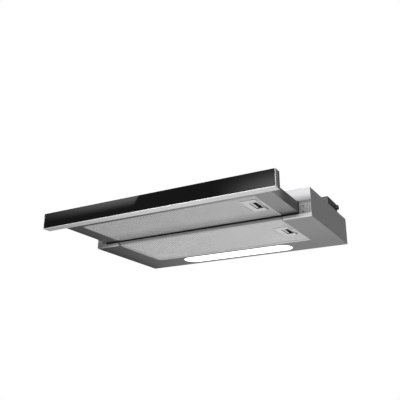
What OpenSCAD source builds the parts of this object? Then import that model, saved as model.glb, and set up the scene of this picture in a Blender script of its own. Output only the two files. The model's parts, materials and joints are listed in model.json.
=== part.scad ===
// Pull out cooker hood for a wall cabinet, drawn with its tray pulled out.
// A base housing carries the fan and the lamp, and a filter tray with a glass front slides out of it.
// Millimetres. X runs right, Y runs back to the wall and Z is up.
// The origin is under the middle of the whole box, level with the underside of the housing.

/* [Housing] */
// Width of the housing and of the front panel
hood_w = 598; // [580:1:898]
// Depth left free behind the tray when it is pushed in
tray_rear_gap = 34; // [30:1:60]
// Height of the base housing
base_h = 68; // [60:1:90]
// Thickness of the housing's steel sheet
sheet = 1; // [0.8:0.1:1.4]
// Height of the lip along the front of the underside
lip_h = 8; // [8:0.5:9]
// Outer radius of the bend under the lip
lip_r = 5; // [3:0.5:6]
// Depth of the guide cap beside the tray
cap_d = 17; // [14:1:22]
// Height of the free slot above the tray
slot_over = 2; // [1.5:0.5:5]

/* [Tray] */
// How far the tray is pulled out
reach = 184; // [150:1:220]
// Length of the tray that stays in the housing
tray_hold = 62; // [50:1:80]
// Distance from the tray's side to the side of the housing
tray_side = 30; // [29:0.5:40]
// Height of the tray's underside above the housing's underside
tray_z = 12; // [12:0.5:14]
// Height of the tray
tray_h = 25; // [24:0.5:27]
// Thickness of the tray's steel sheet
tray_sheet = 1; // [0.8:0.1:1.2]

/* [Front panel] */
// Height of the front panel
panel_h = 38; // [36:0.5:60]
// Depth of the front panel
panel_d = 22; // [20:0.5:30]
// Height of the panel's lower edge above the housing's underside
panel_z = 2; // [0:0.5:4]
// Thickness of the glass
glass_t = 4; // [3:0.5:5]
// Wall of the aluminium front profile
profile_wall = 1.5; // [1.2:0.1:2]
// Depth of the bright plate on each end of the panel
end_plate_d = 11; // [8:0.5:14]

/* [Filters] */
// Distance from the end of both grease filters to the tray's side
filter_side = 41; // [38:1:60]
// Distance from the rear filter to the lens
filter_back = 10; // [10:1:24]
// Thickness of the filters
filter_t = 7.6; // [7:0.1:7.6]
// Width of the frame's turned lip
frame_lip = 2; // [2:0.5:6]
// Width of the rear filter's back rail
rear_rail = 9; // [6:0.5:12]
// Thickness of the frame's aluminium sheet
frame_wall = 0.8; // [0.6:0.1:1]
// Distance of the tray filter behind the front panel
tray_filter_set = 36; // [34:1:44]
// Distance from the tray filter's rear edge to the front of the housing
tray_filter_end = 3; // [2.5:0.5:20]
// Free gap round each filter
filter_gap = 1; // [0.8:0.1:1.2]
// Number of mesh layers in a filter
mesh_layers = 3; // [2:1:4]
// Thickness of one mesh layer
mesh_t = 0.7; // [0.5:0.1:1]
// Radius of the filter hinge pins
pin_r = 1.5; // [1.2:0.1:1.8]

/* [Latches] */
// Width of a latch plate, across the hood
latch_w = 37; // [33:1:40]
// How much each side of a latch plate leans in towards its back
latch_taper = 3.5; // [0:0.5:4]
// Length of a latch plate, front to back
latch_d = 76; // [70:1:84]
// Distance of a latch plate from the filter's right end
latch_edge = 9; // [6.5:0.5:10]
// Distance of the rear latch plate from the front edge of its filter
rear_latch_set = 57; // [30:1:80]
// Distance of the tray latch plate from the front edge of its filter
tray_latch_set = 21; // [14:1:60]
// Width of the finger window
window_w = 17; // [15:0.5:18]
// Length of the finger window
window_d = 42; // [36:1:46]
// Travel of the latch lever
latch_travel = 6; // [4:0.5:6]

/* [Lamp] */
// Length of the lamp lens
lens_w = 326; // [300:1:360]
// Width of the lamp lens
lens_d = 60; // [40:1:62]
// Distance of the lens from the back of the housing
lens_back = 15; // [13:1:18]
// Thickness of the lens
lens_t = 2; // [1.5:0.1:2.4]

/* [Fan] */
// Distance from the fan's axis to the left side of the housing
fan_side = 134; // [120:1:144]
// Radius of the impeller
impeller_r = 70; // [60:1:72]
// Number of impeller blades
blades = 30; // [20:1:40]
// Height of the impeller
impeller_h = 48; // [40:1:50]
// Gap between the impeller and the scroll wall
scroll_gap = 10; // [8:1:11]
// Height of the fan casing
casing_h = 82; // [80:1:100]
// Radius of the motor
motor_r = 36; // [30:1:38]
// Radius of the motor shaft
shaft_r = 3; // [2.5:0.5:4]

/* [Outlet] */
// Outer radius of the outlet spigot
spigot_r = 59.5; // [49.5:0.5:61]
// Height of the outlet spigot
spigot_h = 40; // [25:1:60]
// Distance of the spigot's axis from the back of the housing
spigot_back = 71; // [70:1:80]

/* [Controls] */
// Travel of the light switch
light_travel = 8; // [4:0.5:10]
// Travel of the speed switch, over four positions
speed_travel = 24; // [12:0.5:28]

/* [Hidden] */

// Smoothness of round faces
$fn = 96;
// Overrun of every cut
over = 1;
// Gap that moving and loose pieces keep from their neighbours
play = 0.3;
// Running gap of a pin or shaft in its bore
run_play = 0.05;
// Gap round a screw's shank
screw_play = 0.1;

// Depths
tray_len = reach + tray_hold;
body_d = tray_len + tray_rear_gap;
filter_d = body_d - filter_back - lens_d - lens_back;

// Places along Y
panel_front = -(panel_d + reach + body_d) / 2;
panel_back = panel_front + panel_d;
body_front = panel_back + reach;
body_back = body_front + body_d;
tray_back = panel_back + tray_len;

// Places along X and Z
half_w = hood_w / 2;
tray_half = half_w - tray_side;
filter_half = tray_half - filter_side;
tray_top = tray_z + tray_h;
slot_top = tray_top + slot_over;
panel_top = panel_z + panel_h;

// Filters: their underside, hinge axis and cavity
rear_filter_z = lip_h - filter_t;
filter_lift = 0.2;
tray_filter_z = tray_z + filter_lift;
rear_filter_y = body_front;
tray_filter_y = panel_back + tray_filter_set;
tray_filter_d = reach - tray_filter_set - tray_filter_end;
knuckle_r = filter_t / 2;
pivot_x = -filter_half + knuckle_r;
pin_len = 9;
lug_d = 2;
lug_half = 3;
lug_gap = 1;
notch_d = frame_wall + lug_gap + lug_d + play;

// Crossbar over the rear filter, its pads and the seal
bar_z = lip_h + play;
bar_t = 1.5;
bar_set = 3;
bar_d = 20;
pad_w = 26;
pad_in = 8;
seal_side = 1.7;
cap_inner = tray_half + play + seal_side;
seal_d = bar_set - sheet;

// Guide rails and glides
rail_wall = 1.2;
rail_low = 2;
rail_z0 = tray_z + rail_low;
rail_z1 = tray_top - rail_low / 2;
rail_inner = cap_inner + 1.5 * seal_side;
rail_end_gap = 3;
glide_t = 1.5;
glide_gap = 1;

// Lamp
lens_z = 0.3;
lens_play = 0.5;
lamp_flange = 5;
lamp_wall = 1;
lamp_top = tray_z - 1.5 * sheet;
led_board_t = 1.6;
led_size = 5;
led_pitch = 20;
led_h = 0.8;
lens_y = body_back - lens_back - lens_d / 2;

// Latch, in its own frame: X and Y from the middle of the plate, Z from the filter's underside
plate_t = 1.5;
window_right = 4.5;
tub_wall = 1;
tub_side = 4;
tub_half = window_d / 2 + tub_side;
lever_z0 = plate_t + play;
lever_t = 2.5;
lever_bar = 5.3;
lever_back = 3;
lever_arm = 2.4;
bolt_half = 8;
bolt_nose = 0.7;
spring_r = 1.2;
spring_wall = 0.4;
spring_y = window_d / 4;
latch_mid = filter_half - latch_edge - latch_w / 2;
window_x1 = latch_w / 2 - window_right;
window_x0 = window_x1 - window_w;
spring_short = 3.7;
tub_x0 = window_x0 - lever_back - latch_travel - spring_short - tub_wall;
bolt_end = latch_w / 2 + latch_edge + bolt_nose;

// Fan
casing_d_low = 213;
casing_d_top = 179;
casing_side = 15.5;
casing_right = spigot_r + casing_side;
fan_gap = 11;
scroll_wall = 2;
scroll_r = impeller_r + scroll_gap + scroll_wall;
fan_x = fan_side - half_w;
fan_y = body_back - scroll_r - fan_gap;
casing_left = fan_x - scroll_r - fan_gap;
casing_top = base_h + casing_h;
cover_run = casing_d_low - casing_d_top;
scroll_top = base_h + impeller_h + 5 * scroll_wall;
impeller_z = base_h + 3 * scroll_wall;
impeller_wall = 2;
cup_gap = 6;
cup_r = motor_r + cup_gap;
cup_rise = 12;
cup_floor = impeller_z + cup_rise;
hub_r = 8;
blade_depth = 13;
blade_t = 1.2;
blade_lean = 35;
inlet_inset = 18;
inlet_r = impeller_r - inlet_inset;
ring_t = 2;
ring_neck = 5;
ring_flange = 12;
guard_bar = 2;
guard_share = [0.2, 0.5, 0.8];
bracket_rim = 20;
bracket_r = motor_r + bracket_rim;
bracket_t = 2;
scroll_mouth = 10;
flange_w = 10;

// Outlet
spigot_y = body_back - spigot_back;
spigot_wall = 1.6;
spigot_flange = 8;
spigot_base = 2;
flap_rise = 8;
flap_z = casing_top + flap_rise;
flap_t = 1.6;
flap_gap = 1.4;
rod_r = 2;
flap_knuckle = 3.2;
ledge_w = 3;
ledge_h = 2;
flap_r = spigot_r - spigot_wall - flap_gap;
knuckle_share = [-0.86, -0.44, 0.02, 0.44];
knuckle_len_share = 0.38;

// Terminal box and driver on top of the housing
box_w = 66;
box_side = 16;
box_x = half_w - box_side - box_w;
box_d = 80;
box_h = 36;
box_wall = 2;
box_lid = 3;
box_back = 13;
block_w = 50;
block_d = 16;
block_h = 12;
capacitor_r = 14;
capacitor_len = 60;
block_ways = 5;
gland_r = 9;
gland_bore = 4;
gland_len = 14;
nut_len = 5;
lead_r = 3;
box_y = body_back - box_back - box_d;
gland_y = box_y + box_d / 2;
gland_z = base_h + box_h / 2;
lead_y = box_y + box_d / 4;
lead_z = base_h + box_wall + lead_r + play;
driver_w = 40;
driver_d = 58;
driver_h = 22;
driver_tab = 5;
driver_back = 8;
driver_y = body_back - driver_back - driver_d;
driver_lead_y = driver_y + driver_d / 2;
lamp_lead_x = (lens_w - lens_d) / 2;
driver_x = lamp_lead_x - driver_w / 2;
lamp_lead_y = lens_y + lens_d / 4;
lamp_lead_r = 2.5;

// Front profile and controls
glass_gap = 0.2;
end_wall = 1.5;
plug_set = 0.5;
plug_wall = 2;
control_w = 130;
control_d = 27;
control_h = 14;
control_side = 16;
bezel_drop = 1.2;
slider_w = 12;
slider_d = 8;
slider_neck = 4;
slider_h = 2.6;
slider_rib = 0.5;
slider_play = 0.1;
slider_gap = 30;
control_x1 = tray_half - control_side;
control_x0 = control_x1 - control_w;
control_y0 = panel_back + 2 * tray_sheet;
control_mid = control_y0 + control_d / 2;
bezel_z = tray_top - bezel_drop;
light_x = control_x0 + slider_gap / 2;
speed_x = light_x + light_travel + slider_w + slider_gap;

// Screws
cap_screw_set = 9.5;
cap_screw_rise = [4, 18];
head_r = 3.4;
head_h = 2;
shank_r = 1.5;
shank_len = 5;
cap_screw_r = 1.9;
cap_screw_x = cap_inner + cap_screw_set;
cap_screw_h = 1.2;
fix_r = 2.25;
fix_set = 37;
fix_pitch = 200;
fix_z = 52;
switch_w = 18;
switch_h = 8;
sense_gap = 3;
magnet_t = 3;
magnet_x = 2 * tray_sheet - tray_half;

// Screw places, in X and Y: on the flanges of the fan casing and on the motor bracket
casing_screw_spots = [for (x = [casing_left - flange_w / 2, casing_right + flange_w / 2])
                      for (side = [-1, 1]) [x, fan_y + side * scroll_r / 2]];
bracket_spots = [for (angle = [45:90:315]) [fan_x + (bracket_r - head_r) * cos(angle),
                                            fan_y + (bracket_r - head_r) * sin(angle)]];
// Screw places through the tray's front flange and through its sides into the glides
flange_screw_share = [-0.8, -0.3, 0.3];
flange_screw_x = [for (share = flange_screw_share) share * tray_half];
flange_screw_z = tray_z + 2 * head_r;
glide_y = [body_front + cap_d + glide_gap, tray_back - glide_gap];
glide_screw_y = [glide_y[0] + 3 * head_r, glide_y[1] - 3 * head_r];
glide_screw_z = (rail_z0 + rail_z1) / 2;

// Colours
steel = [0.56, 0.56, 0.57];
silver = [0.78, 0.78, 0.79];
aluminium = [0.8, 0.8, 0.81];
dark = [0.12, 0.12, 0.13];
plastic = [0.82, 0.82, 0.82];
zinc = [0.7, 0.72, 0.74];

// Two places the same distance either side of one, and two a length apart
function about(at, half) = [at - half, at + half];
function onward(at, length) = [at, at + length];

// A block between two X, two Y and two Z places
module block(x, y, z) {
    translate([x[0], y[0], z[0]]) cube([x[1] - x[0], y[1] - y[0], z[1] - z[0]]);
}

// The same block on the left and on the right
module both_sides() {
    children();
    mirror([1, 0, 0]) children();
}

// A rod along X, Y or Z from one place to the other
module rod_x(r, x, y, z) {
    translate([x[0], y, z]) rotate([0, 90, 0]) cylinder(r = r, h = x[1] - x[0]);
}
module rod_y(r, x, y, z) {
    translate([x, y[1], z]) rotate([90, 0, 0]) cylinder(r = r, h = y[1] - y[0]);
}
module rod_z(r, x, y, z) {
    translate([x, y, z[0]]) cylinder(r = r, h = z[1] - z[0]);
}

// A slab with half round ends, from the middle outwards
module stadium(w, d, z) {
    translate([0, 0, z[0]]) linear_extrude(z[1] - z[0]) {
        square([w - d, d], center = true);
        for (side = [-1, 1]) translate([side * (w - d) / 2, 0]) circle(d = d);
    }
}

// A pan head screw that points down, with its head on z = 0
module screw(r = shank_r) {
    cylinder(r = head_r, h = head_h);
    translate([0, 0, -shank_len]) cylinder(r = r, h = shank_len + over);
}

// The section of a folded front lip: outer round corner less the inner one, in Y and Z
module lip_section(y0, z0, z1, deep, wall, r) {
    difference() {
        corner_section(y0, z0, z1, deep, r);
        corner_section(y0 + wall, z0 + wall, z1 + over, deep + over, max(r - wall, wall));
    }
}
module corner_section(y0, z0, z1, deep, r) {
    intersection() {
        translate([y0, z0]) square([deep, z1 - z0]);
        union() {
            translate([y0 + r, z0 + r]) circle(r = r);
            translate([y0, z0 + r]) square([deep, z1 - z0 - r]);
            translate([y0 + r, z0]) square([deep - r, z1 - z0]);
        }
    }
}
// A section in Y and Z drawn along X
module along_x(x) {
    translate([x[0], 0, 0]) rotate([90, 0, 90]) linear_extrude(x[1] - x[0]) children();
}

// Housing: side plates, rear wall, top plate and the face above the tray slot
module base_shell() {
    side_y = [body_front + lip_r, body_back - sheet];
    color(silver) difference() {
        union() {
            both_sides() block([half_w - sheet, half_w], side_y, [sheet, base_h - sheet]);
            both_sides() block([half_w - sheet, half_w], [body_front + sheet, side_y[0] + over],
                               [lip_h, base_h - sheet]);
            block([-half_w, half_w], [body_back - sheet, body_back], [sheet, base_h - sheet]);
            block([-half_w, half_w], [body_front, body_back], [base_h - sheet, base_h]);
            block([-half_w, half_w], [body_front, body_front + sheet], [slot_top, base_h - sheet]);
        }
        // Fan inlet
        rod_z(inlet_r + ring_neck + run_play, fan_x, fan_y, [base_h - sheet - over, base_h + over]);
        // Lamp lead
        rod_z(lamp_lead_r + run_play, lamp_lead_x, lamp_lead_y, [base_h - sheet - over, base_h + over]);
        // Fixing holes for the cabinet's sides
        for (y = [0, fix_pitch]) {
            rod_x(fix_r, [-half_w - over, half_w + over], body_front + fix_set + y, fix_z);
        }
        for (spot = casing_screw_spots) {
            rod_z(shank_r + screw_play, spot[0], spot[1], [base_h - sheet - over, base_h + over]);
        }
    }
}

// Underside: a pressed frame round the rear filter and the lamp, with the lip's two ends
module bottom_frame() {
    hole_x = filter_half + filter_gap;
    hole_y1 = rear_filter_y + filter_d + filter_gap;
    color(steel) {
        difference() {
            union() {
                difference() {
                    block([-half_w, half_w], [body_front + lip_r, body_back], [0, sheet]);
                    block([-hole_x, hole_x], [body_front - over, hole_y1], [-over, sheet + over]);
                }
                both_sides() along_x([hole_x, half_w]) {
                    lip_section(body_front, 0, lip_h, lip_r + over, sheet, lip_r);
                }
                // Turned up seat round the filter
                both_sides() block([hole_x, hole_x + sheet], [body_front + lip_r, hole_y1 + sheet],
                                   [0, lip_h - play]);
                block([-hole_x, hole_x], [hole_y1, hole_y1 + sheet], [0, lip_h - play]);
            }
            translate([0, lens_y, 0]) stadium(lens_w + lens_play, lens_d + lens_play, [-over, sheet + over]);
        }
    }
}

// Steel bar across the housing, over the front edge of the rear filter
module front_crossbar() {
    color(dark) difference() {
        block([sheet - half_w, half_w - sheet], [body_front + bar_set, body_front + bar_set + bar_d],
              [bar_z, bar_z + bar_t]);
        both_sides() rod_z(shank_r, tray_half - pad_in - pad_w / 2,
                           body_front + bar_set + bar_d / 2, [bar_z - over, bar_z + bar_t + over]);
    }
}

// Dark brush seal under and beside the tray, in front of the crossbar
module tray_seal() {
    y = [body_front + sheet, body_front + sheet + seal_d];
    color(dark) {
        block([-cap_inner, cap_inner], y, [bar_z, tray_z - play]);
        both_sides() block([cap_inner - seal_side, cap_inner], y, [tray_z - play - over, slot_top]);
    }
}

// Plastic cap that fills the front beside the tray and guides it
module guide_cap(side) {
    x = [cap_inner, half_w - sheet];
    color(plastic) mirror([side < 0 ? 1 : 0, 0, 0]) difference() {
        union() {
            block(x, [body_front, body_front + cap_d], [lip_h, slot_top]);
            block([x[0], half_w], [body_front, body_front + sheet], [lip_h, slot_top]);
        }
        // Room for the crossbar
        block([x[0] - over, x[1] + over], [body_front + bar_set, body_front + cap_d + over],
              [lip_h - over, bar_z + bar_t]);
        for (rise = cap_screw_rise) {
            rod_y(cap_screw_r + screw_play, cap_screw_x, [body_front - over, body_front + cap_screw_h],
                  lip_h + rise);
            rod_y(shank_r / 2 + screw_play, cap_screw_x, [body_front, body_front + cap_d + over],
                  lip_h + rise);
        }
    }
}
module guide_cap_left() guide_cap(-1);
module guide_cap_right() guide_cap(1);

// Steel channel on the inner face of a side plate, which a tray glide runs in
module guide_rail(side) {
    x = [rail_inner, half_w - sheet];
    y = [body_front + cap_d, body_back - sheet - rail_end_gap];
    color(zinc) mirror([side < 0 ? 1 : 0, 0, 0]) difference() {
        block(x, y, [rail_z0, rail_z1]);
        block([x[0] - over, x[1] - rail_wall], [y[0] - over, y[1] - rail_wall],
              [rail_z0 + rail_wall, rail_z1 - rail_wall]);
    }
}
module guide_rail_left() guide_rail(-1);
module guide_rail_right() guide_rail(1);

// Plastic pads on the crossbar that carry the front of the tray
module front_pads() {
    y = [body_front + bar_set + sheet, body_front + bar_set + bar_d - sheet];
    x = [tray_half - pad_in - pad_w, tray_half - pad_in];
    color(plastic) both_sides() {
        block(x, y, [bar_z + bar_t, tray_z - play]);
        rod_z(shank_r - run_play, (x[0] + x[1]) / 2, (y[0] + y[1]) / 2, [bar_z, bar_z + bar_t + over]);
    }
}

// Lamp: a shallow plastic tub, a row of light emitting diodes on a board and an opal lens
module lamp_housing() {
    z = [sheet, lamp_top];
    color("white") translate([0, lens_y, 0]) difference() {
        union() {
            stadium(lens_w + 2 * lamp_flange, lens_d + 2 * lamp_flange, [z[0], z[0] + lamp_wall]);
            stadium(lens_w + 2 * lamp_wall, lens_d + 2 * lamp_wall, z);
        }
        stadium(lens_w + lens_play, lens_d + lens_play, [z[0] - over, lens_z + lens_t]);
        stadium(lens_w - 2 * lamp_wall, lens_d - 2 * lamp_wall, [z[0] - over, z[1] - lamp_wall]);
        rod_z(lamp_lead_r + run_play, lamp_lead_x, lamp_lead_y - lens_y,
              [z[1] - lamp_wall - over, z[1] + over]);
    }
}
module led_board() {
    z = [lamp_top - lamp_wall - led_board_t, lamp_top - lamp_wall];
    count = floor((lens_w - lens_d) / (2 * led_pitch));
    translate([0, lens_y, 0]) {
        color("white") stadium(lens_w - lens_d, lens_d / 2, z);
        color("gold") for (k = [-count:count]) {
            block(about(k * led_pitch, led_size / 2), about(0, led_size / 2),
                  [z[0] - led_h, z[0]]);
        }
    }
}
module lamp_lens() {
    color("ivory") translate([0, lens_y, 0]) stadium(lens_w, lens_d, [lens_z, lens_z + lens_t]);
}
module led_driver() {
    x = [driver_x, driver_x + driver_w];
    y = [driver_y, driver_y + driver_d];
    color("white") {
        block(x, y, [base_h, base_h + driver_h]);
        block([x[0] - driver_tab, x[1] + driver_tab], y, [base_h, base_h + sheet]);
    }
}
// Lead from the housing's top down to the lamp
module lamp_lead() {
    color(dark) rod_z(lamp_lead_r, lamp_lead_x, lamp_lead_y, [lamp_top - lamp_wall, base_h]);
}

// Grease filters, each drawn at the origin: X from the middle, Y from the front edge, Z from the underside
module at_rear_filter() translate([0, rear_filter_y, rear_filter_z]) children();
module at_tray_filter() translate([0, tray_filter_y, tray_filter_z]) children();

// Notches beside the hinge, one at each end of the knuckle
module hinge_notches(depth) {
    for (y = [[-over, notch_d], [depth - notch_d, depth + over]]) {
        block([-filter_half - over, pivot_x + knuckle_r + lug_gap], y, [-over, filter_t + over]);
    }
}
module filter_outline(depth, front_r) {
    intersection() {
        union() {
            block([pivot_x, filter_half], [0, depth], [0, filter_t]);
            rod_y(knuckle_r, pivot_x, [0, depth], knuckle_r);
        }
        along_x([-filter_half, filter_half]) corner_section(0, 0, filter_t, depth, front_r);
    }
}
// Where the mesh lies in its frame: lip says that the front edge is bent round, in line with the housing's
function mesh_x() = [pivot_x + knuckle_r, filter_half - frame_wall];
function mesh_y(depth, lip) = [lip ? lip_r / sqrt(2) : frame_wall, depth - frame_wall];
module filter_frame(depth, latch_set, lip) {
    open = frame_lip - frame_wall;
    bolt_y = latch_set + latch_d / 2;
    color(aluminium) difference() {
        filter_outline(depth, lip ? lip_r : frame_wall);
        // Room for the mesh, and the open middle
        block(mesh_x(), mesh_y(depth, lip), [frame_wall, filter_t - frame_wall]);
        block(mesh_x() + [open, -open],
              [mesh_y(depth, lip)[0] + open, depth - (lip ? rear_rail : frame_lip)],
              [-over, filter_t + over]);
        // Keyhole for the bolt
        block([filter_half - frame_lip - over, filter_half + over],
              about(bolt_y, bolt_half + play),
              [lever_z0 - play, lever_z0 + lever_t + play]);
        difference() {
            hinge_notches(depth);
            // A bent front edge stays whole in front of the notch
            if (lip) {
                block([-filter_half - over, filter_half], [-over, frame_wall], [-over, filter_t + over]);
            }
        }
        rod_y(pin_r + run_play, pivot_x, [lip ? notch_d - over : -over, depth + over], knuckle_r);
    }
}
// Layers of expanded mesh that fill the frame, less the pocket for the latch
module filter_mesh(depth, latch_set, lip) {
    mid = latch_set + latch_d / 2;
    room = filter_t - 2 * frame_wall;
    step = (room - mesh_t) / (mesh_layers - 1);
    color("gainsboro") difference() {
        for (k = [0:mesh_layers - 1]) {
            block(mesh_x(), mesh_y(depth, lip), onward(frame_wall + k * step, mesh_t));
        }
        translate([latch_mid, mid, 0]) {
            latch_face([-over, plate_t]);
            block(about(0, latch_w / 2), about(0, tub_half), [plate_t, filter_t + over]);
            // Way of the bolt, above the lowest layer
            block([0, latch_w / 2 + latch_edge], about(0, bolt_half + play),
                  [lever_z0 - play / 2, filter_t + over]);
        }
        hinge_notches(depth);
    }
}
// Face of a latch, narrower at its back
module latch_face(z) {
    half = latch_w / 2;
    translate([0, 0, z[0]]) linear_extrude(z[1] - z[0]) polygon([
        [-half, -latch_d / 2], [half, -latch_d / 2],
        [half - latch_taper, latch_d / 2], [-half + latch_taper, latch_d / 2]]);
}
// Latch plate with its tub, at the middle of the latch
module latch_plate() {
    color(plastic) difference() {
        union() {
            latch_face([0, plate_t]);
            block([tub_x0, latch_w / 2 - play], about(0, tub_half), [plate_t, filter_t - frame_wall]);
        }
        block([tub_x0 + tub_wall, latch_w / 2 + over], about(0, tub_half - tub_wall),
              [plate_t, filter_t - frame_wall - tub_wall]);
        block([window_x0, window_x1], about(0, window_d / 2), [-over, plate_t + over]);
    }
}
// Lever: a finger bar, two arms beside the window and the bolt
module latch_lever() {
    z = onward(lever_z0, lever_t);
    bar_x = [window_x0 - lever_back, window_x0 + lever_bar];
    arm_y = onward(window_d / 2 + play, lever_arm);
    cross_x = [window_x1 + play, latch_w / 2 - play];
    color(plastic) {
        block(bar_x, about(0, arm_y[1]), z);
        for (side = [0, 1]) mirror([0, side, 0]) block([bar_x[0], cross_x[1]], arm_y, z);
        block(cross_x, about(0, arm_y[1]), z);
        block([cross_x[0], bolt_end], about(0, bolt_half), z);
    }
}
// Two springs that push the bolt out
module latch_springs() {
    x = onward(tub_x0 + tub_wall, latch_travel + spring_short);
    z = lever_z0 + lever_t / 2;
    color(zinc) for (y = [-spring_y, spring_y]) difference() {
        rod_x(spring_r, x, y, z);
        rod_x(spring_r - spring_wall, [x[0] - over, x[1] + over], y, z);
    }
}
module at_latch(latch_set) translate([latch_mid, latch_set + latch_d / 2, 0]) children();

// Two lugs with pins for a filter's knuckle; the front one hangs from the crossbar if lift is true
module filter_hinge(depth, lift) {
    lug_end = frame_wall + lug_gap + lug_d;
    x = about(pivot_x, lug_half);
    color(zinc) {
        block(x, [lift ? frame_wall + lug_gap : -filter_gap, lug_end],
              [frame_wall, lift ? bar_z - rear_filter_z : filter_t - frame_wall]);
        rod_y(pin_r, pivot_x, [frame_wall + lug_gap, notch_d + pin_len], knuckle_r);
        block(x, [depth - lug_end, depth + filter_gap], [frame_wall, filter_t - frame_wall]);
        rod_y(pin_r, pivot_x, [depth - notch_d - pin_len, depth], knuckle_r);
    }
}
module rear_hinge() at_rear_filter() filter_hinge(filter_d, true);
module rear_filter_frame() at_rear_filter() filter_frame(filter_d, rear_latch_set, true);
module rear_filter_mesh() at_rear_filter() filter_mesh(filter_d, rear_latch_set, true);
module rear_latch_plate() at_rear_filter() at_latch(rear_latch_set) latch_plate();
module rear_latch_lever() at_rear_filter() at_latch(rear_latch_set) latch_lever();
module rear_latch_springs() at_rear_filter() at_latch(rear_latch_set) latch_springs();

// Fan casing: three walls and a top, open below and at its sloped front
function slope_y(z) = body_back - casing_d_low + cover_run * (z - base_h) / casing_h;
module casing_section(x, z, front, back) {
    along_x(x) polygon([[slope_y(z[0]) + front, z[0]], [back, z[0]],
                        [back, z[1]], [slope_y(z[1]) + front, z[1]]]);
}
module fan_casing() {
    color(zinc) difference() {
        union() {
            casing_section([casing_left, casing_right], [base_h, casing_top], 0, body_back);
            block([casing_left - flange_w, casing_right + flange_w], [fan_y - scroll_r, body_back],
                  [base_h, base_h + sheet]);
        }
        // The cavity is open in front, where the cover goes
        casing_section([casing_left + sheet, casing_right - sheet],
                       [base_h - over, casing_top - sheet], -over, body_back - sheet);
        rod_z(spigot_r - spigot_wall, 0, spigot_y, [casing_top - sheet - over, casing_top + over]);
        for (spot = casing_screw_spots) {
            rod_z(shank_r + screw_play, spot[0], spot[1], [base_h - over, base_h + sheet + over]);
        }
        block([casing_right - sheet - over, casing_right + over],
              about(lead_y, lead_r + run_play), about(lead_z, lead_r + run_play));
    }
}
// The casing's sloped front, a sheet between its two side walls
module casing_cover() {
    x = [casing_left + sheet, casing_right - sheet];
    z = [base_h, casing_top - sheet];
    color(silver) along_x(x) polygon([[slope_y(z[0]), z[0]], [slope_y(z[0]) + sheet, z[0]],
                                      [slope_y(z[1]) + sheet, z[1]], [slope_y(z[1]), z[1]]]);
}

// Fan scroll: a drum with a mouth towards the outlet, all seen from above
module scroll_plan(inset) {
    circle(r = scroll_r - inset);
    translate([0, scroll_mouth + inset]) {
        square([scroll_r + fan_gap, scroll_r - scroll_mouth - 2 * inset]);
    }
}
module fan_scroll() {
    color("dimgray") translate([fan_x, fan_y, 0]) difference() {
        translate([0, 0, base_h]) linear_extrude(scroll_top - base_h) scroll_plan(0);
        translate([0, 0, base_h + scroll_wall]) {
            linear_extrude(scroll_top - base_h - 2 * scroll_wall) {
                scroll_plan(scroll_wall);
                translate([scroll_r, scroll_mouth + scroll_wall]) {
                    square([fan_gap + over, scroll_r - scroll_mouth - 2 * scroll_wall]);
                }
            }
        }
        rod_z(inlet_r + ring_neck + run_play, 0, 0, [base_h - over, base_h + scroll_wall + over]);
        rod_z(cup_r + play + over, 0, 0, [scroll_top - scroll_wall - over, scroll_top + over]);
        for (spot = bracket_spots) {
            rod_z(shank_r + screw_play, spot[0] - fan_x, spot[1] - fan_y,
                  [scroll_top - scroll_wall - over, scroll_top + over]);
        }
    }
}
// Inlet ring with a finger guard of rings and spokes
module inlet_ring() {
    z = [base_h - sheet - ring_t, base_h - sheet];
    color("dimgray") translate([fan_x, fan_y, 0]) {
        difference() {
            union() {
                rod_z(inlet_r + ring_flange, 0, 0, z);
                rod_z(inlet_r + ring_neck, 0, 0, [z[0], base_h + 2 * scroll_wall]);
            }
            rod_z(inlet_r, 0, 0, [z[0] - over, base_h + 2 * scroll_wall + over]);
        }
        for (share = guard_share) difference() {
            rod_z(share * inlet_r, 0, 0, z);
            rod_z(share * inlet_r - guard_bar, 0, 0, [z[0] - over, z[1] + over]);
        }
        for (angle = [0:60:300]) rotate([0, 0, angle]) {
            block([guard_share[0] * inlet_r - guard_bar / 2, inlet_r + guard_bar],
                  about(0, guard_bar / 2), z);
        }
    }
}
module impeller() {
    z1 = impeller_z + impeller_h;
    color("darkslategray") translate([fan_x, fan_y, 0]) {
        difference() {
            rod_z(impeller_r, 0, 0, [impeller_z, impeller_z + impeller_wall]);
            rod_z(impeller_r - blade_depth - impeller_wall, 0, 0,
                  [impeller_z - over, impeller_z + impeller_wall + over]);
        }
        difference() {
            rod_z(impeller_r, 0, 0, [z1 - impeller_wall, z1]);
            rod_z(cup_r - impeller_wall, 0, 0, [z1 - impeller_wall - over, z1 + over]);
        }
        difference() {
            rod_z(cup_r, 0, 0, [cup_floor, z1]);
            rod_z(cup_r - impeller_wall, 0, 0, [cup_floor + impeller_wall, z1 + over]);
            rod_z(shaft_r, 0, 0, [cup_floor - over, z1]);
        }
        difference() {
            rod_z(hub_r, 0, 0, [impeller_z + impeller_wall, cup_floor]);
            rod_z(shaft_r, 0, 0, [impeller_z, cup_floor + over]);
        }
        for (k = [0:blades - 1]) rotate([0, 0, 360 * k / blades]) {
            translate([impeller_r - blade_depth - impeller_wall / 2, 0, impeller_z]) {
                rotate([0, 0, blade_lean]) {
                    block([0, blade_depth], about(0, blade_t / 2),
                          [impeller_wall / 2, impeller_h - impeller_wall / 2]);
                }
            }
        }
    }
}
module motor_shaft() {
    color("lightgray") rod_z(shaft_r, fan_x, fan_y, [impeller_z + impeller_wall, scroll_top - bracket_t]);
}
module motor() {
    z = [cup_floor + 2 * impeller_wall, scroll_top];
    color("gray") difference() {
        union() {
            rod_z(motor_r, fan_x, fan_y, z);
            rod_z(hub_r, fan_x, fan_y, [z[0] - impeller_wall / 2, z[0] + over]);
        }
        rod_z(shaft_r + run_play, fan_x, fan_y, [z[0] - 2 * over, z[1] + over]);
    }
}
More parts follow.
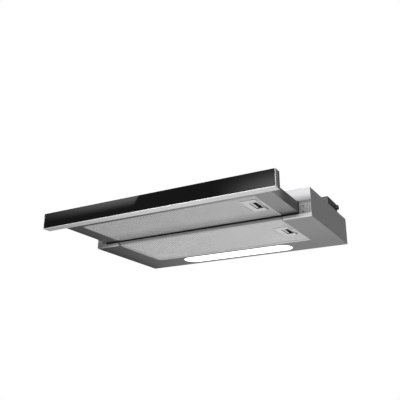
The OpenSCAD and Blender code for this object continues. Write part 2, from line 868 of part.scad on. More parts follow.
module motor_bracket() {
    z = [scroll_top, scroll_top + bracket_t];
    color(zinc) difference() {
        rod_z(bracket_r, fan_x, fan_y, z);
        rod_z(hub_r, fan_x, fan_y, [z[0] - over, z[1] + over]);
        for (spot = bracket_spots) rod_z(shank_r + screw_play, spot[0], spot[1], [z[0] - over, z[1] + over]);
    }
}

// Outlet spigot for a round duct, with a ledge that the flaps close on
module outlet_spigot() {
    color("dimgray") translate([0, spigot_y, 0]) difference() {
        union() {
            rod_z(spigot_r, 0, 0, [casing_top, casing_top + spigot_h]);
            rod_z(spigot_r + spigot_flange, 0, 0, [casing_top, casing_top + spigot_base]);
        }
        rod_z(spigot_r - spigot_wall - ledge_w, 0, 0, [casing_top - over, casing_top + spigot_h + over]);
        rod_z(spigot_r - spigot_wall, 0, 0, [flap_z - flap_t / 2 - play, casing_top + spigot_h + over]);
        rod_z(spigot_r - spigot_wall, 0, 0, [casing_top - over, flap_z - flap_t / 2 - play - ledge_h]);
        rod_x(rod_r + run_play, about(0, spigot_r - spigot_wall / 2), 0, flap_z);
    }
}
module flap_rod() {
    color("lightgray") rod_x(rod_r, about(0, spigot_r - spigot_wall / 2), spigot_y, flap_z);
}
// One half round flap with its knuckles; side is -1 in front of the rod and 1 behind it
module flap(side) {
    keep = side < 0 ? [0, 2] : [1, 3];
    step = flap_knuckle + play;
    color("darkgray") translate([0, spigot_y, flap_z]) mirror([0, side < 0 ? 1 : 0, 0]) {
        difference() {
            union() {
                intersection() {
                    rod_z(flap_r, 0, 0, [-flap_t / 2, flap_t / 2]);
                    block([-flap_r, flap_r], [step, flap_r], [-flap_t, flap_t]);
                }
                for (k = keep) {
                    x = onward(knuckle_share[k] * flap_r, knuckle_len_share * flap_r);
                    block(x, [0, step + over], [-flap_t / 2, flap_t / 2]);
                    rod_x(flap_knuckle, x, 0, 0);
                }
            }
            rod_x(rod_r + run_play, [-flap_r - over, flap_r + over], 0, 0);
        }
    }
}
module flap_front() flap(-1);
module flap_rear() flap(1);

// Terminal box with its lid, block, capacitor and cable gland, on top of the housing
module terminal_box() {
    x = onward(box_x, box_w);
    y = onward(box_y, box_d);
    color("dimgray") difference() {
        block(x, y, [base_h, base_h + box_h]);
        block(x + [box_wall, -box_wall], y + [box_wall, -box_wall],
              [base_h + box_wall, base_h + box_h + over]);
        rod_x((gland_r + gland_bore) / 2, [x[1] - box_wall - over, x[1] + over], gland_y, gland_z);
        for (lead = [lead_y, driver_lead_y]) {
            rod_x(lead_r + run_play, [x[0] - over, x[0] + box_wall + over], lead, lead_z);
        }
    }
}
module terminal_cover() {
    x = onward(box_x, box_w);
    z = onward(base_h + box_h, box_lid);
    color("dimgray") difference() {
        block(x, onward(box_y, box_d), z);
        for (recess_x = x + [3 * box_wall, -3 * box_wall]) {
            rod_z(head_r, recess_x, gland_y, [z[1] - box_lid / 2, z[1] + over]);
        }
    }
}
module terminal_block() {
    x = onward(box_x + box_w - box_wall - play - block_w, block_w);
    y = onward(box_y + box_wall + play, block_d);
    color("ivory") difference() {
        block(x, y, [base_h + box_wall, base_h + box_wall + block_h]);
        for (k = [1:2:2 * block_ways]) {
            rod_z(shank_r, x[0] + k * block_w / (2 * block_ways), y[0] + block_d / 2,
                  [base_h + block_h - shank_r, base_h + box_wall + block_h + over]);
        }
    }
}
module capacitor() {
    x = onward(box_x + box_wall + play, capacitor_len);
    color("whitesmoke") rod_x(capacitor_r, x, box_y + box_d - box_wall - play - capacitor_r,
                              base_h + box_wall + capacitor_r);
}
// Gland for the mains lead: a neck through the wall and a nut outside it
module cable_gland() {
    x = box_x + box_w;
    neck = (gland_r + gland_bore) / 2 - run_play;
    color(dark) difference() {
        union() {
            rod_x(neck, [x - box_wall, x + over], gland_y, gland_z);
            rod_x(gland_r, [x, x + nut_len], gland_y, gland_z);
            rod_x(neck, [x + nut_len - over, x + gland_len], gland_y, gland_z);
        }
        rod_x(gland_bore, [x - box_wall - over, x + gland_len + over], gland_y, gland_z);
    }
}
// Leads from the terminal box into the fan casing and into the lamp's driver
module box_leads() {
    color(dark) {
        rod_x(lead_r, [casing_right - 2 * sheet, box_x + box_wall], lead_y, lead_z);
        rod_x(lead_r, [driver_x + driver_w, box_x + box_wall], driver_lead_y, lead_z);
    }
}

// Contactless switch on the rear wall that senses the tray's magnet when the tray is pushed in
module tray_switch() {
    color("black") block(onward(magnet_x, switch_w), [tray_back + reach + sense_gap, body_back - sheet],
                         onward(tray_z + rail_low, switch_h));
}

module body_screws() {
    head_y = [body_front + cap_screw_h / 4, body_front + cap_screw_h];
    color("dimgray") both_sides() for (rise = cap_screw_rise) {
        rod_y(cap_screw_r, cap_screw_x, head_y, lip_h + rise);
        rod_y(shank_r / 2, cap_screw_x, [head_y[0], body_front + cap_d / 2], lip_h + rise);
    }
}
module casing_screws() {
    color("lightgray") {
        for (spot = casing_screw_spots) translate([spot[0], spot[1], base_h + sheet]) screw();
        for (spot = bracket_spots) translate([spot[0], spot[1], scroll_top + bracket_t]) screw();
    }
}

// Tray: the pan with its filter hole, sides and front flange
module tray_pan() {
    hole_x = filter_half + filter_gap;
    hole_y = [tray_filter_y - filter_gap, tray_filter_y + tray_filter_d + filter_gap];
    s = tray_sheet;
    color(steel) difference() {
        union() {
            block([-tray_half, tray_half], [panel_back, tray_back], [tray_z, tray_z + s]);
            both_sides() block([tray_half - s, tray_half], [panel_back, tray_back], [tray_z, tray_top]);
            block([-tray_half, tray_half], [panel_back, panel_back + s], [tray_z, tray_top]);
            // Turned up seat round the filter
            block([-hole_x - s, hole_x + s], hole_y + [-s, s], [tray_z, tray_filter_z + filter_t]);
        }
        block([-hole_x, hole_x], hole_y, [tray_z - over, tray_top]);
        for (x = flange_screw_x) {
            rod_y(shank_r + screw_play, x, [panel_back - over, panel_back + s + over], flange_screw_z);
        }
        both_sides() for (y = glide_screw_y) {
            rod_x(shank_r + screw_play, [tray_half - s - over, tray_half + over], y, glide_screw_z);
        }
    }
}
module tray_cover() {
    s = tray_sheet;
    x = tray_half - s;
    color(steel) difference() {
        union() {
            block([-x, x], [panel_back + s, tray_back], [tray_top - s, tray_top]);
            both_sides() block([x - s, x], [panel_back + s, tray_back], [tray_filter_z + filter_t, tray_top]);
        }
        block([control_x0, control_x1], [control_y0, control_y0 + control_d], [tray_z, tray_top + over]);
        both_sides() for (y = glide_screw_y) {
            rod_x(head_r + run_play, [x - s - over, x + over], y, glide_screw_z);
        }
    }
}
// Plastic shoes on the tray's sides that run in the guide rails
module tray_glides() {
    z = [rail_z0 + rail_wall + play, rail_z1 - rail_wall - play];
    color("white") both_sides() difference() {
        block([tray_half, half_w - sheet - rail_wall - play], glide_y, z);
        block([tray_half + glide_t, half_w], glide_y + [glide_t, -glide_t], z + 2 * [glide_t, -glide_t]);
        for (y = glide_screw_y) {
            rod_x(shank_r, [tray_half - over, tray_half + glide_t + over], y, glide_screw_z);
        }
    }
}
module tray_magnet() {
    color("black") block(onward(magnet_x, switch_w), [tray_back - magnet_t, tray_back],
                         [tray_z + tray_sheet, tray_z + rail_low + switch_h]);
}
module tray_hinge() at_tray_filter() filter_hinge(tray_filter_d, false);
module tray_filter_frame() at_tray_filter() filter_frame(tray_filter_d, tray_latch_set, false);
module tray_filter_mesh() at_tray_filter() filter_mesh(tray_filter_d, tray_latch_set, false);
module tray_latch_plate() at_tray_filter() at_latch(tray_latch_set) latch_plate();
module tray_latch_lever() at_tray_filter() at_latch(tray_latch_set) latch_lever();
module tray_latch_springs() at_tray_filter() at_latch(tray_latch_set) latch_springs();

// Front panel: a hollow aluminium profile with a sill, the glass on it, and its two ends
module front_profile() {
    w = profile_wall;
    x = half_w - end_wall;
    box_y0 = panel_front + glass_t + glass_gap;
    color(aluminium) difference() {
        union() {
            block([-x, x], [box_y0, panel_back], [panel_z, panel_top - w / 2]);
            block([-x, x], [panel_front, box_y0 + over], [panel_z, panel_z + w]);
        }
        block([-half_w, half_w], [box_y0 + w, panel_back - w], [panel_z + w, panel_top - 3 * w / 2]);
        for (fx = flange_screw_x) {
            rod_y(shank_r, fx, [panel_back - w - over, panel_back + over], flange_screw_z);
        }
    }
}
module glass_panel() {
    x = half_w - end_wall - glass_gap;
    color("black") block([-x, x], [panel_front, panel_front + glass_t],
                         [panel_z + profile_wall + glass_gap, panel_top]);
}
module end_plates() {
    color(aluminium) both_sides() {
        block([half_w - end_wall, half_w], [panel_front, panel_front + end_plate_d], [panel_z, panel_top]);
    }
}
module end_plugs() {
    w = profile_wall;
    box_y0 = panel_front + glass_t + glass_gap + w;
    color("dimgray") both_sides() {
        block([half_w - end_wall, half_w - plug_set], [panel_front + end_plate_d, panel_back],
              [panel_z, panel_top]);
        block([half_w - end_wall - 2 * plug_wall, half_w - end_wall],
              [box_y0 + run_play, panel_back - w - run_play],
              [panel_z + w + run_play, panel_top - 3 * w / 2 - run_play]);
    }
}

// Controls: a box under the tray's cover with two slide switches
module control_box() {
    y = [control_y0, control_y0 + control_d];
    x = [control_x0, control_x1];
    slot = [-slider_w / 2 - play, slider_w / 2 + play];
    color(dark) difference() {
        block(x, y, [bezel_z - control_h, bezel_z]);
        for (s = [[light_x, light_travel], [speed_x, speed_travel]]) {
            block([s[0] + slot[0], s[0] + slot[1] + s[1]], about(control_mid, slider_neck / 2 + play),
                  [bezel_z - slider_h * 2 - play, bezel_z + over]);
        }
    }
}
module slider(x) {
    color("lightgray") translate([x, control_mid, bezel_z]) {
        block(about(0, slider_w / 2), about(0, slider_neck / 2), [-2 * slider_h, over]);
        block(about(0, slider_w / 2), about(0, slider_d / 2), [slider_play, slider_h - slider_rib]);
        for (k = [-2:2]) {
            block(about(k * slider_w / 5, slider_rib), about(0, slider_d / 2), [slider_play, slider_h]);
        }
    }
}
module light_slider() slider(light_x);
module speed_slider() slider(speed_x);
module tray_screws() {
    s = tray_sheet;
    color("lightgray") {
        for (x = flange_screw_x) translate([x, panel_back + s, flange_screw_z]) {
            rotate([-90, 0, 0]) screw(shank_r - run_play);
        }
        both_sides() for (y = glide_screw_y) {
            rod_x(head_r, [tray_half - 2 * s, tray_half - s], y, glide_screw_z);
            rod_x(shank_r - run_play, [tray_half - 3 * s / 2, tray_half + glide_t], y, glide_screw_z);
        }
    }
}

base_shell();
bottom_frame();
front_crossbar();
tray_seal();
guide_cap_left();
guide_cap_right();
guide_rail_left();
guide_rail_right();
front_pads();
lamp_housing();
led_board();
lamp_lens();
led_driver();
lamp_lead();
rear_hinge();
rear_filter_frame();
rear_filter_mesh();
rear_latch_plate();
rear_latch_lever();
rear_latch_springs();
fan_casing();
casing_cover();
fan_scroll();
inlet_ring();
motor();
motor_bracket();
motor_shaft();
impeller();
outlet_spigot();
flap_rod();
flap_front();
flap_rear();
terminal_box();
terminal_cover();
terminal_block();
capacitor();
cable_gland();
box_leads();
tray_switch();
body_screws();
casing_screws();
tray_pan();
tray_cover();
tray_glides();
tray_magnet();
tray_hinge();
front_profile();
glass_panel();
end_plates();
end_plugs();
tray_filter_frame();
tray_filter_mesh();
tray_latch_plate();
tray_latch_lever();
tray_latch_springs();
control_box();
light_slider();
speed_slider();
tray_screws();
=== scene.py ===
import json
import math

import bmesh
import bpy
from bpy.props import FloatProperty, FloatVectorProperty, IntProperty, PointerProperty
from bpy.types import Operator, Panel, PropertyGroup
from mathutils import Matrix, Vector

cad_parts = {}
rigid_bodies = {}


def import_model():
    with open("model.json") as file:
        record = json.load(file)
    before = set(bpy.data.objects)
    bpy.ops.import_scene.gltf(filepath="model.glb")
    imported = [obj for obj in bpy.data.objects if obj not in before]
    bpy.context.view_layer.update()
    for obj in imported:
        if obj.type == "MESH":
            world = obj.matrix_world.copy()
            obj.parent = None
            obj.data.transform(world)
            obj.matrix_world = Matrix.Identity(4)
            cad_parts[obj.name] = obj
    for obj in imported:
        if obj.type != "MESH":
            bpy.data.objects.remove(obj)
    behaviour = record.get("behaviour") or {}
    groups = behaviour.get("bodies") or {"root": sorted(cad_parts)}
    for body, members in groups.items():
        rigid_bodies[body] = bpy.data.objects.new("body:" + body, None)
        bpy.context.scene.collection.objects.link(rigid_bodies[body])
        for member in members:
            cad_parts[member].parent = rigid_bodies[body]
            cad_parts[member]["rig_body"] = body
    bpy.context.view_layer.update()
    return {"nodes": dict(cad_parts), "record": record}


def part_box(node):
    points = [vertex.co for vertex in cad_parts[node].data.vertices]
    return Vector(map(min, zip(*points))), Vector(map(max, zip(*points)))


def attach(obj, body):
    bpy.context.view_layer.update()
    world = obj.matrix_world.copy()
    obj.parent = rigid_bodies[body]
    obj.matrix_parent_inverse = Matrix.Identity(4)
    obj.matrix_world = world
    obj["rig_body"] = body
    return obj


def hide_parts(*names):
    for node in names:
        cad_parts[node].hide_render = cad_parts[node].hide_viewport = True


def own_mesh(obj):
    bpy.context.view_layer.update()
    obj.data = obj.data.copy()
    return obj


bl_info = {
    "name": "Pull out cooker hood",
    "version": (1, 0, 0),
    "blender": (4, 5, 0),
    "location": "3D View > Sidebar > Hood",
    "description": "Dresses the packed model of a pull out cooker hood",
    "category": "Object",
}

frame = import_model()
slot_of = {row["node"]: row["material_slot"] for row in frame["record"]["subparts"]}

MM = 0.001

# Faces that meet at less than this are one flat face
FLAT_ANGLE = math.radians(0.5)
# Edges that are sharper than this are rounded, and smoother ones are shaded as one face
SHARP_ANGLE = math.radians(34)
# Points closer than this are one point
WELD = 0.000002
# An edge is rounded if it is longer than this number of its roundings
LONG_SHARE = 3.0
# A face may be filled this much beyond its area before its rounding counts as too wide
FILL_SLACK = 1.003
# Shares of the wanted rounding that are tried in turn
ROUNDING_SHARES = (1.0, 0.7, 0.5, 0.3)
# A face whose direction has more than this along an axis looks along it
FACING = 0.7
# The filters' inner layers have cells that are this much larger
INNER_COARSE = 1.7

# Sockets of a Mix node for colours
MIX_ONE = 6
MIX_OTHER = 7
MIX_RESULT = 2

# The broad mottle that all finishes share, and the detail of their grain
MOTTLE_SCALE = 14.0
MOTTLE_DETAIL = 2.0
GRAIN_DETAIL = 3.0
# Grain times mottle that counts as full
FULL_MOTTLE = 0.5
LEAST_ROUGH = 0.02
LENS_GLOW = 1.3

# Looks of the finishes: the record's material slots, and those that only some faces have. Grain is the
# size of the texture in mm, stretch its pull along X, relief the height of its bumps in mm, tint the
# change of its colour and haze the change of its roughness. Each entry of painted shading multiplies the
# colour along an axis to paint light or shade into it: the axis, its start and end in metres, and both
# factors. The axis SIDE is the distance from the middle, left or right. Several finishes are lighter or
# darker copies of another one, which paint light or shade.
PAINT = {"rough": 0.42, "metal": 0.25, "grain": 0.9, "relief": 0.010, "tint": 0.02, "haze": 0.05}
BRUSHED = {"rough": 0.32, "metal": 0.93, "grain": 0.7, "relief": 0.004, "tint": 0.03, "haze": 0.04}
BENT = {"rough": 0.42, "metal": 0.2, "grain": 0.5, "relief": 0.008, "tint": 0.04, "haze": 0.08,
        "stretch": 0.03}
EXPANDED = {"rough": 0.5, "metal": 0.15, "grain": 0.8, "relief": 0.020, "tint": 0.08, "haze": 0.08}
PLATE = {"rough": 0.4, "metal": 0.2, "grain": 0.35, "relief": 0.006, "tint": 0.02, "haze": 0.06}
LATCH = {"rough": 0.46, "metal": 0.0, "grain": 0.35, "relief": 0.015, "tint": 0.02, "haze": 0.05}
SATIN = {"rough": 0.5, "metal": 0.0, "grain": 0.4, "relief": 0.020, "tint": 0.03, "haze": 0.05}
MOULDED = {"rough": 0.5, "metal": 0.0, "grain": 0.4, "relief": 0.020, "tint": 0.04, "haze": 0.06}

FINISHES = {
    "silver_paint": PAINT,
    # Painted shade: the housing's front gets darker towards the bottom, just above the guide caps
    "front_paint": {**PAINT, "painted_shading": [("Z", 0.039, 0.058, 0.46, 1.0)]},
    # Painted shade: the underside steel gets darker towards its left edge and towards the rear
    "grey_steel": {**BRUSHED, "painted_shading": [("X", -0.297, -0.25, 0.66, 1.0), ("Y", 0.02, 0.243, 1.0, 0.76)]},
    # Painted shade: a copy of the underside steel that gets darker at the tray's left edge and towards the
    # housing
    "tray_steel": {**BRUSHED, "painted_shading": [("X", -0.269, -0.24, 0.85, 1.0), ("Y", -0.11, -0.035, 1.0, 0.75)]},
    "cover_steel": {"rough": 0.5, "metal": 0.3, "grain": 0.8, "relief": 0.008, "tint": 0.03, "haze": 0.06},
    # Painted light and shade: a much lighter copy of the steel for the lip, nearly black under the tray and darker to   the left
    "lip_steel": {"rough": 0.5, "metal": 0.1, "grain": 0.7, "relief": 0.008, "tint": 0.02, "haze": 0.05,
                  "painted_shading": [("X", -0.31, -0.22, 0.25, 1.0), ("SIDE", 0.2292, 0.2312, 0.05, 1.0)]},
    # Dark grey tray sides, partly paint and partly painted shade, with painted light that makes the front of each side   brighter
    "side_steel": {"rough": 0.6, "metal": 0.1, "grain": 0.7, "relief": 0.010, "tint": 0.03, "haze": 0.05,
                   "painted_shading": [("Y", -0.170, -0.120, 3.6, 1.0)]},
    "zinc_steel": {"rough": 0.52, "metal": 0.7, "grain": 7.0, "relief": 0.012, "tint": 0.10, "haze": 0.10,
                   "spangle": True},
    "dark_steel": {"rough": 0.45, "metal": 0.3, "grain": 0.6, "relief": 0.010, "tint": 0.05, "haze": 0.08},
    "motor_steel": {"rough": 0.35, "metal": 0.9, "grain": 0.6, "relief": 0.010, "tint": 0.05, "haze": 0.08},
    "frame_aluminium": BENT,
    # Painted shade: a darker copy of the frame's aluminium for its bent front edge
    "frame_front": BENT,
    "mesh_aluminium": EXPANDED,
    # Painted shade: a darker copy of the filter mesh that gets darker still towards the housing
    "tray_mesh": {**EXPANDED, "painted_shading": [("Y", -0.1, -0.037, 1.0, 0.72)]},
    # Painted shade: the inner mesh layers are near black for the shade inside the filter
    "mesh_deep": {"rough": 0.6, "metal": 0.1, "grain": 0.8, "relief": 0.020, "tint": 0.10, "haze": 0.08},
    # Painted shade: a darker copy of the profile's aluminium for the end plates
    "plate_aluminium": PLATE,
    # Painted light and shade along the profile: lighter towards the middle, darker at both ends
    "profile_aluminium": {**PLATE, "rough": 0.36, "stretch": 0.01,
                          "painted_shading": [("X", -0.28, -0.02, 0.78, 1.13), ("X", 0.08, 0.22, 1.0, 0.87)]},
    "black_glass": {"rough": 0.025, "metal": 0.0, "grain": 30.0, "relief": 0.0, "tint": 0.05, "haze": 0.01},
    "latch_plastic": LATCH,
    # Painted shade: the near black of the tub and the window's walls behind the latch
    "latch_inside": {**LATCH, "rough": 0.6, "tint": 0.05},
    "cap_plastic": SATIN,
    # Painted shade: the guide caps get darker towards their top
    "guide_plastic": {**SATIN, "painted_shading": [("Z", 0.029, 0.037, 1.1, 0.45)]},
    "white_plastic": {"rough": 0.5, "metal": 0.0, "grain": 0.4, "relief": 0.015, "tint": 0.02, "haze": 0.05},
    "grey_plastic": MOULDED,
    "plug_plastic": MOULDED,
    "dark_plastic": {"rough": 0.55, "metal": 0.0, "grain": 0.4, "relief": 0.020, "tint": 0.06, "haze": 0.06},
    "seal_rubber": {"rough": 0.8, "metal": 0.0, "grain": 0.3, "relief": 0.030, "tint": 0.10, "haze": 0.05},
    "lamp_lens": {"rough": 0.3, "metal": 0.0, "grain": 1.2, "relief": 0.004, "tint": 0.01, "haze": 0.04},
}

# Each light: name, place, aim, width, depth, and the studio's value for its power
LIGHT_AIM = (0.0, 0.0, 0.05)
LIGHTS = (
    ("under_light", (0.05, 0.05, -1.2), (0.0, 0.0, 0.0), 1.2, 1.0, "under"),
    ("front_light", (0.25, -2.3, 0.35), LIGHT_AIM, 1.0, 0.6, "front"),
    ("top_light", (-0.4, 0.2, 1.9), LIGHT_AIM, 1.6, 1.2, "top"),
    ("back_light", (0.1, 1.9, -0.5), LIGHT_AIM, 1.4, 0.6, "back"),
)
WHITE = (1.0, 1.0, 1.0, 1.0)

# The floor's half side, the colour that the camera sees, and the darker share of its mottle
FLOOR_HALF = 4.0
FLOOR_PALE = (0.87, 0.87, 0.87, 1.0)
FLOOR_MOTTLE = 0.97

# The board that the black glass mirrors stands this far in front of it
BOARD_AHEAD = 1.5
# Its bright patch ends at this place of the glass, with this lean, and with an edge twice this wide
PATCH_END_X = -0.0345
PATCH_LEAN = -0.45
PATCH_BLUR = 0.002


def colour(name, what, red, green, blue):
    """A colour that a user can change, in linear values"""
    return FloatVectorProperty(name=name, description=what, default=(red, green, blue),
                               subtype="COLOR", size=3, min=0.0, max=1.0)


def length(name, what, value):
    """A length that a user can change, in metres"""
    return FloatProperty(name=name, description=what, default=value, unit="LENGTH", subtype="DISTANCE",
                         precision=5)


class HoodColours(PropertyGroup):
    """Colours of the hood's finishes"""
    silver_paint: colour("Housing paint", "Paint of the housing and the casing's cover", 0.55, 0.55, 0.56)
    # The housing's front gets painted shade towards the bottom
    front_paint: colour("Front paint", "Paint of the housing's front", 0.55, 0.55, 0.56)
    # The underside gets painted shade at its left edge and towards the rear
    grey_steel: colour("Underside steel", "Steel of the underside", 0.50, 0.50, 0.505)
    # The tray's steel gets painted shade at its left edge and towards the housing
    tray_steel: colour("Tray steel", "Steel of the tray", 0.50, 0.50, 0.505)
    cover_steel: colour("Tray cover", "Painted cover of the tray", 0.36, 0.36, 0.365)
    # Lighter than the underside steel: painted light, with painted shade under the tray and to the left
    lip_steel: colour("Lip", "Front lip of the underside", 0.85, 0.85, 0.86)
    # Partly dark paint and partly painted shade, with painted light towards the front
    side_steel: colour("Tray side", "Painted sides of the tray", 0.20, 0.20, 0.205)
    zinc_steel: colour("Zinc", "Zinc plated steel of the fan casing, rails and hinges", 0.50, 0.52, 0.54)
    dark_steel: colour("Dark screws", "Blackened screws in the guide caps", 0.03, 0.03, 0.03)
    motor_steel: colour("Bare steel", "Motor, shafts and screws", 0.42, 0.42, 0.43)
    frame_aluminium: colour("Filter frame", "Aluminium frame of the filters", 0.80, 0.80, 0.80)
    # Darker than the rest of the frame: painted shade
    frame_front: colour("Frame front", "Bent front edge of the filters' frames", 0.58, 0.58, 0.58)
    mesh_aluminium: colour("Filter mesh", "Expanded mesh of the rear filter", 0.93, 0.93, 0.93)
    # Darker than the rear mesh, and darker still towards the housing: painted shade
    tray_mesh: colour("Tray filter mesh", "Expanded mesh of the tray's filter", 0.80, 0.80, 0.80)
    # Near black: painted shade inside the filter
    mesh_deep: colour("Inner mesh", "Mesh layers behind the visible one", 0.10, 0.10, 0.10)
    # Darker than the profile: painted shade
    plate_aluminium: colour("End plates", "Plates at the ends of the front panel", 0.56, 0.56, 0.565)
    profile_aluminium: colour("Front profile", "Anodised profile of the front panel", 0.88, 0.88, 0.885)
    black_glass: colour("Front glass", "Black glass of the front panel", 0.008, 0.008, 0.008)
    latch_plastic: colour("Latch", "Plastic of the latches", 0.72, 0.72, 0.72)
    # Near black: painted shade inside the latch
    latch_inside: colour("Latch inside", "Dark tub behind the latch's window", 0.01, 0.01, 0.01)
    cap_plastic: colour("Sliders", "Plastic of the sliders", 0.35, 0.35, 0.35)
    # Gets painted shade towards the top of the caps
    guide_plastic: colour("Guide cap", "Plastic of the guide caps", 0.35, 0.35, 0.35)
    white_plastic: colour("White plastic", "Lamp housing, driver, pads and glides", 0.72, 0.72, 0.70)
    grey_plastic: colour("Grey plastic", "Scroll, spigot, boxes and flaps", 0.09, 0.09, 0.095)
    plug_plastic: colour("End plugs", "Plugs in the ends of the front panel", 0.20, 0.20, 0.205)
    # In the caps' dimples this near black is painted shade
    dark_plastic: colour("Dark plastic", "Leads, gland, impeller and the caps' dimples", 0.018, 0.018, 0.019)
    # A real brush seal, whose black also paints the shade of the gap between the tray and the lip
    seal_rubber: colour("Seal", "Brush seal under the tray", 0.008, 0.008, 0.008)
    lamp_lens: colour("Lens", "Opal lens of the lamp", 0.9, 0.9, 0.9)
    floor: colour("Floor", "Studio floor", 0.25, 0.25, 0.25)


class HoodSizes(PropertyGroup):
    """Sizes of the small shapes that the dressing adds"""
    sheet_edge: length("Sheet edge", "Rounding of sheet metal edges", 0.3 * MM)
    plastic_edge: length("Plastic edge", "Rounding of moulded edges", 0.6 * MM)
    thick_edge: length("Thick edge", "Rounding of thick moulded edges", 1.2 * MM)
    glass_edge: length("Glass edge", "Ground edge of the front glass", 0.8 * MM)
    cell_long: length("Mesh cell", "Long way of a cell of the expanded mesh", 9.0 * MM)
    tray_short: length("Tray mesh height", "Short way of a cell of the tray's mesh", 6.2 * MM)
    rear_short: length("Rear mesh height", "Short way of a cell of the rear mesh", 7.5 * MM)
    strand_share: FloatProperty(name="Strand", description="Share of a cell that its strands cover",
                                default=0.36, min=0.1, max=0.8, subtype="FACTOR")
    mesh_gap: length("Mesh gap", "Dark gap between the mesh and its frame", 1.8 * MM)
    # The bent front edge this deep gets a darker finish: painted shade
    frame_front: length("Frame front", "Depth of the frame's bent front edge", 8.0 * MM)
    strand_thick: length("Strand thickness", "Thickness of the mesh's sheet", 0.3 * MM)
    strand_tilt: length("Strand tilt", "Height that a strand leans over", 0.12 * MM)
    slider_edge: length("Slider edge", "Rounding of the small sliders", 0.15 * MM)
    # Lever faces deeper than this get painted shade
    latch_skin: length("Latch skin", "Thickness of the latch's light face", 3.0 * MM)
    spring_wire: length("Spring wire", "Diameter of the latch springs' wire", 0.4 * MM)
    spring_turns: IntProperty(name="Spring turns", description="Turns of a latch spring", default=7, min=2)
    dot: length("Cap dot", "Radius of the dimples in the guide caps", 0.95 * MM)
    dot_pitch: length("Cap dot pitch", "Distance of the dimples in the guide caps", 3.4 * MM)


class HoodStudio(PropertyGroup):
    """Camera and light"""
    camera_x: length("Camera X", "Place of the camera", 0.6868)
    camera_y: length("Camera Y", "Place of the camera", -1.2321)
    camera_z: length("Camera Z", "Place of the camera", -0.3942)
    yaw: FloatProperty(name="Yaw", description="Turn of the camera to the left", default=0.5116,
                       subtype="ANGLE")
    pitch: FloatProperty(name="Pitch", description="Tilt of the camera upwards", default=0.3362,
                         subtype="ANGLE")
    lens: FloatProperty(name="Lens", description="Focal length for a 36 mm sensor", default=52.69,
                        subtype="DISTANCE_CAMERA")
    floor_z: length("Floor", "Height of the studio floor", -1.6)
    world: FloatProperty(name="World", description="Strength of the light from all round", default=0.2)
    under: FloatProperty(name="Under light", description="Power of the light from below", default=10.0,
                         subtype="POWER")
    front: FloatProperty(name="Front light", description="Power of the light from the front", default=42.0,
                         subtype="POWER")
    top: FloatProperty(name="Top light", description="Power of the light from above", default=35.0,
                       subtype="POWER")
    back: FloatProperty(name="Back light", description="Power of the light from behind", default=10.0,
                        subtype="POWER")


def link(obj):
    """Puts a new object into the scene"""
    bpy.context.scene.collection.objects.link(obj)
    return obj


def shade(mesh):
    """Smooth faces that stay sharp at real edges"""
    mesh.shade_smooth()
    mesh.set_sharp_from_angle(angle=SHARP_ANGLE)


def mesh_piece(name, bm):
    """A new object from mesh code"""
    bmesh.ops.recalc_face_normals(bm, faces=bm.faces)
    mesh = bpy.data.meshes.new(name)
    bm.to_mesh(mesh)
    bm.free()
    shade(mesh)
    return link(bpy.data.objects.new(name, mesh))


def carry(piece, node, *more, slot=None):
    """piece stands for nodes: it rides on the first one's body and takes its finish, or slot's"""
    piece.data.materials.append(finish(slot or slot_of[node]))
    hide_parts(node, *more)
    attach(piece, frame["nodes"][node]["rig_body"])
    return piece


def second_finish(piece, slot, wanted):
    """Gives another finish to the faces for which wanted is true"""
    piece.data.materials.append(finish(slot))
    for face in piece.data.polygons:
        if wanted(face):
            face.material_index = 1


def node_mesh(node):
    """A node's mesh with its doubled points joined"""
    bm = bmesh.new()
    bm.from_mesh(frame["nodes"][node].data)
    bmesh.ops.remove_doubles(bm, verts=bm.verts, dist=WELD)
    return bm


def round_edges(bm, width, segments=2):
    """Rounds the long outer edges of a mesh"""
    edges = [e for e in bm.edges
             if len(e.link_faces) == 2 and e.is_convex and e.calc_length() > LONG_SHARE * width
             and e.calc_face_angle(0.0) > SHARP_ANGLE]
    bmesh.ops.bevel(bm, geom=edges, offset=width, offset_type="OFFSET", segments=segments, profile=0.5,
                    affect="EDGES", clamp_overlap=False)


def sound(bm):
    """True if each face fills its own outline and nothing outside it"""
    filled = {}
    for corners in bm.calc_loop_triangles():
        one, two, three = (loop.vert.co for loop in corners)
        face = corners[0].face
        filled[face] = filled.get(face, 0.0) + (two - one).cross(three - one).length / 2
    return all(area < FILL_SLACK * face.calc_area() + WELD ** 2 for face, area in filled.items())


def rounded_mesh(node, width, segments=2):
    """A node's mesh with the widest rounding up to width that its narrow places allow, or with none"""
    for share in ROUNDING_SHARES:
        bm = node_mesh(node)
        bmesh.ops.dissolve_limit(bm, angle_limit=FLAT_ANGLE, verts=bm.verts, edges=bm.edges)
        round_edges(bm, share * width, segments)
        if sound(bm):
            return bm
        bm.free()
    return node_mesh(node)


def rounded(node, width, segments=2, slot=None):
    """A node's shape with its long outer edges rounded, in place of the node"""
    piece = mesh_piece(node + "_rounded", rounded_mesh(node, width, segments))
    # Large flat faces keep their own direction beside their rounded edges
    flats = piece.modifiers.new("Flat faces", "WEIGHTED_NORMAL")
    flats.keep_sharp = True
    return carry(piece, node, slot=slot)


def islands(node):
    """Lowest and highest corners of each separate solid of a node"""
    bm = node_mesh(node)
    left = set(bm.verts)
    found = []
    while left:
        island = {left.pop()}
        front = list(island)
        while front:
            vert = front.pop()
            for edge in vert.link_edges:
                other = edge.other_vert(vert)
                if other not in island:
                    island.add(other)
                    front.append(other)
        left -= island
        low = Vector(min(v.co[k] for v in island) for k in range(3))
        high = Vector(max(v.co[k] for v in island) for k in range(3))
        found.append((low, high))
    bm.free()
    return sorted(found, key=lambda pair: tuple(round(q, 4) for q in pair[0]))


def on_circle(radius, step, steps, height=0.0):
    """A point on a circle round Z"""
    turn = 2 * math.pi * step / steps
    return Vector((radius * math.cos(turn), radius * math.sin(turn), height))


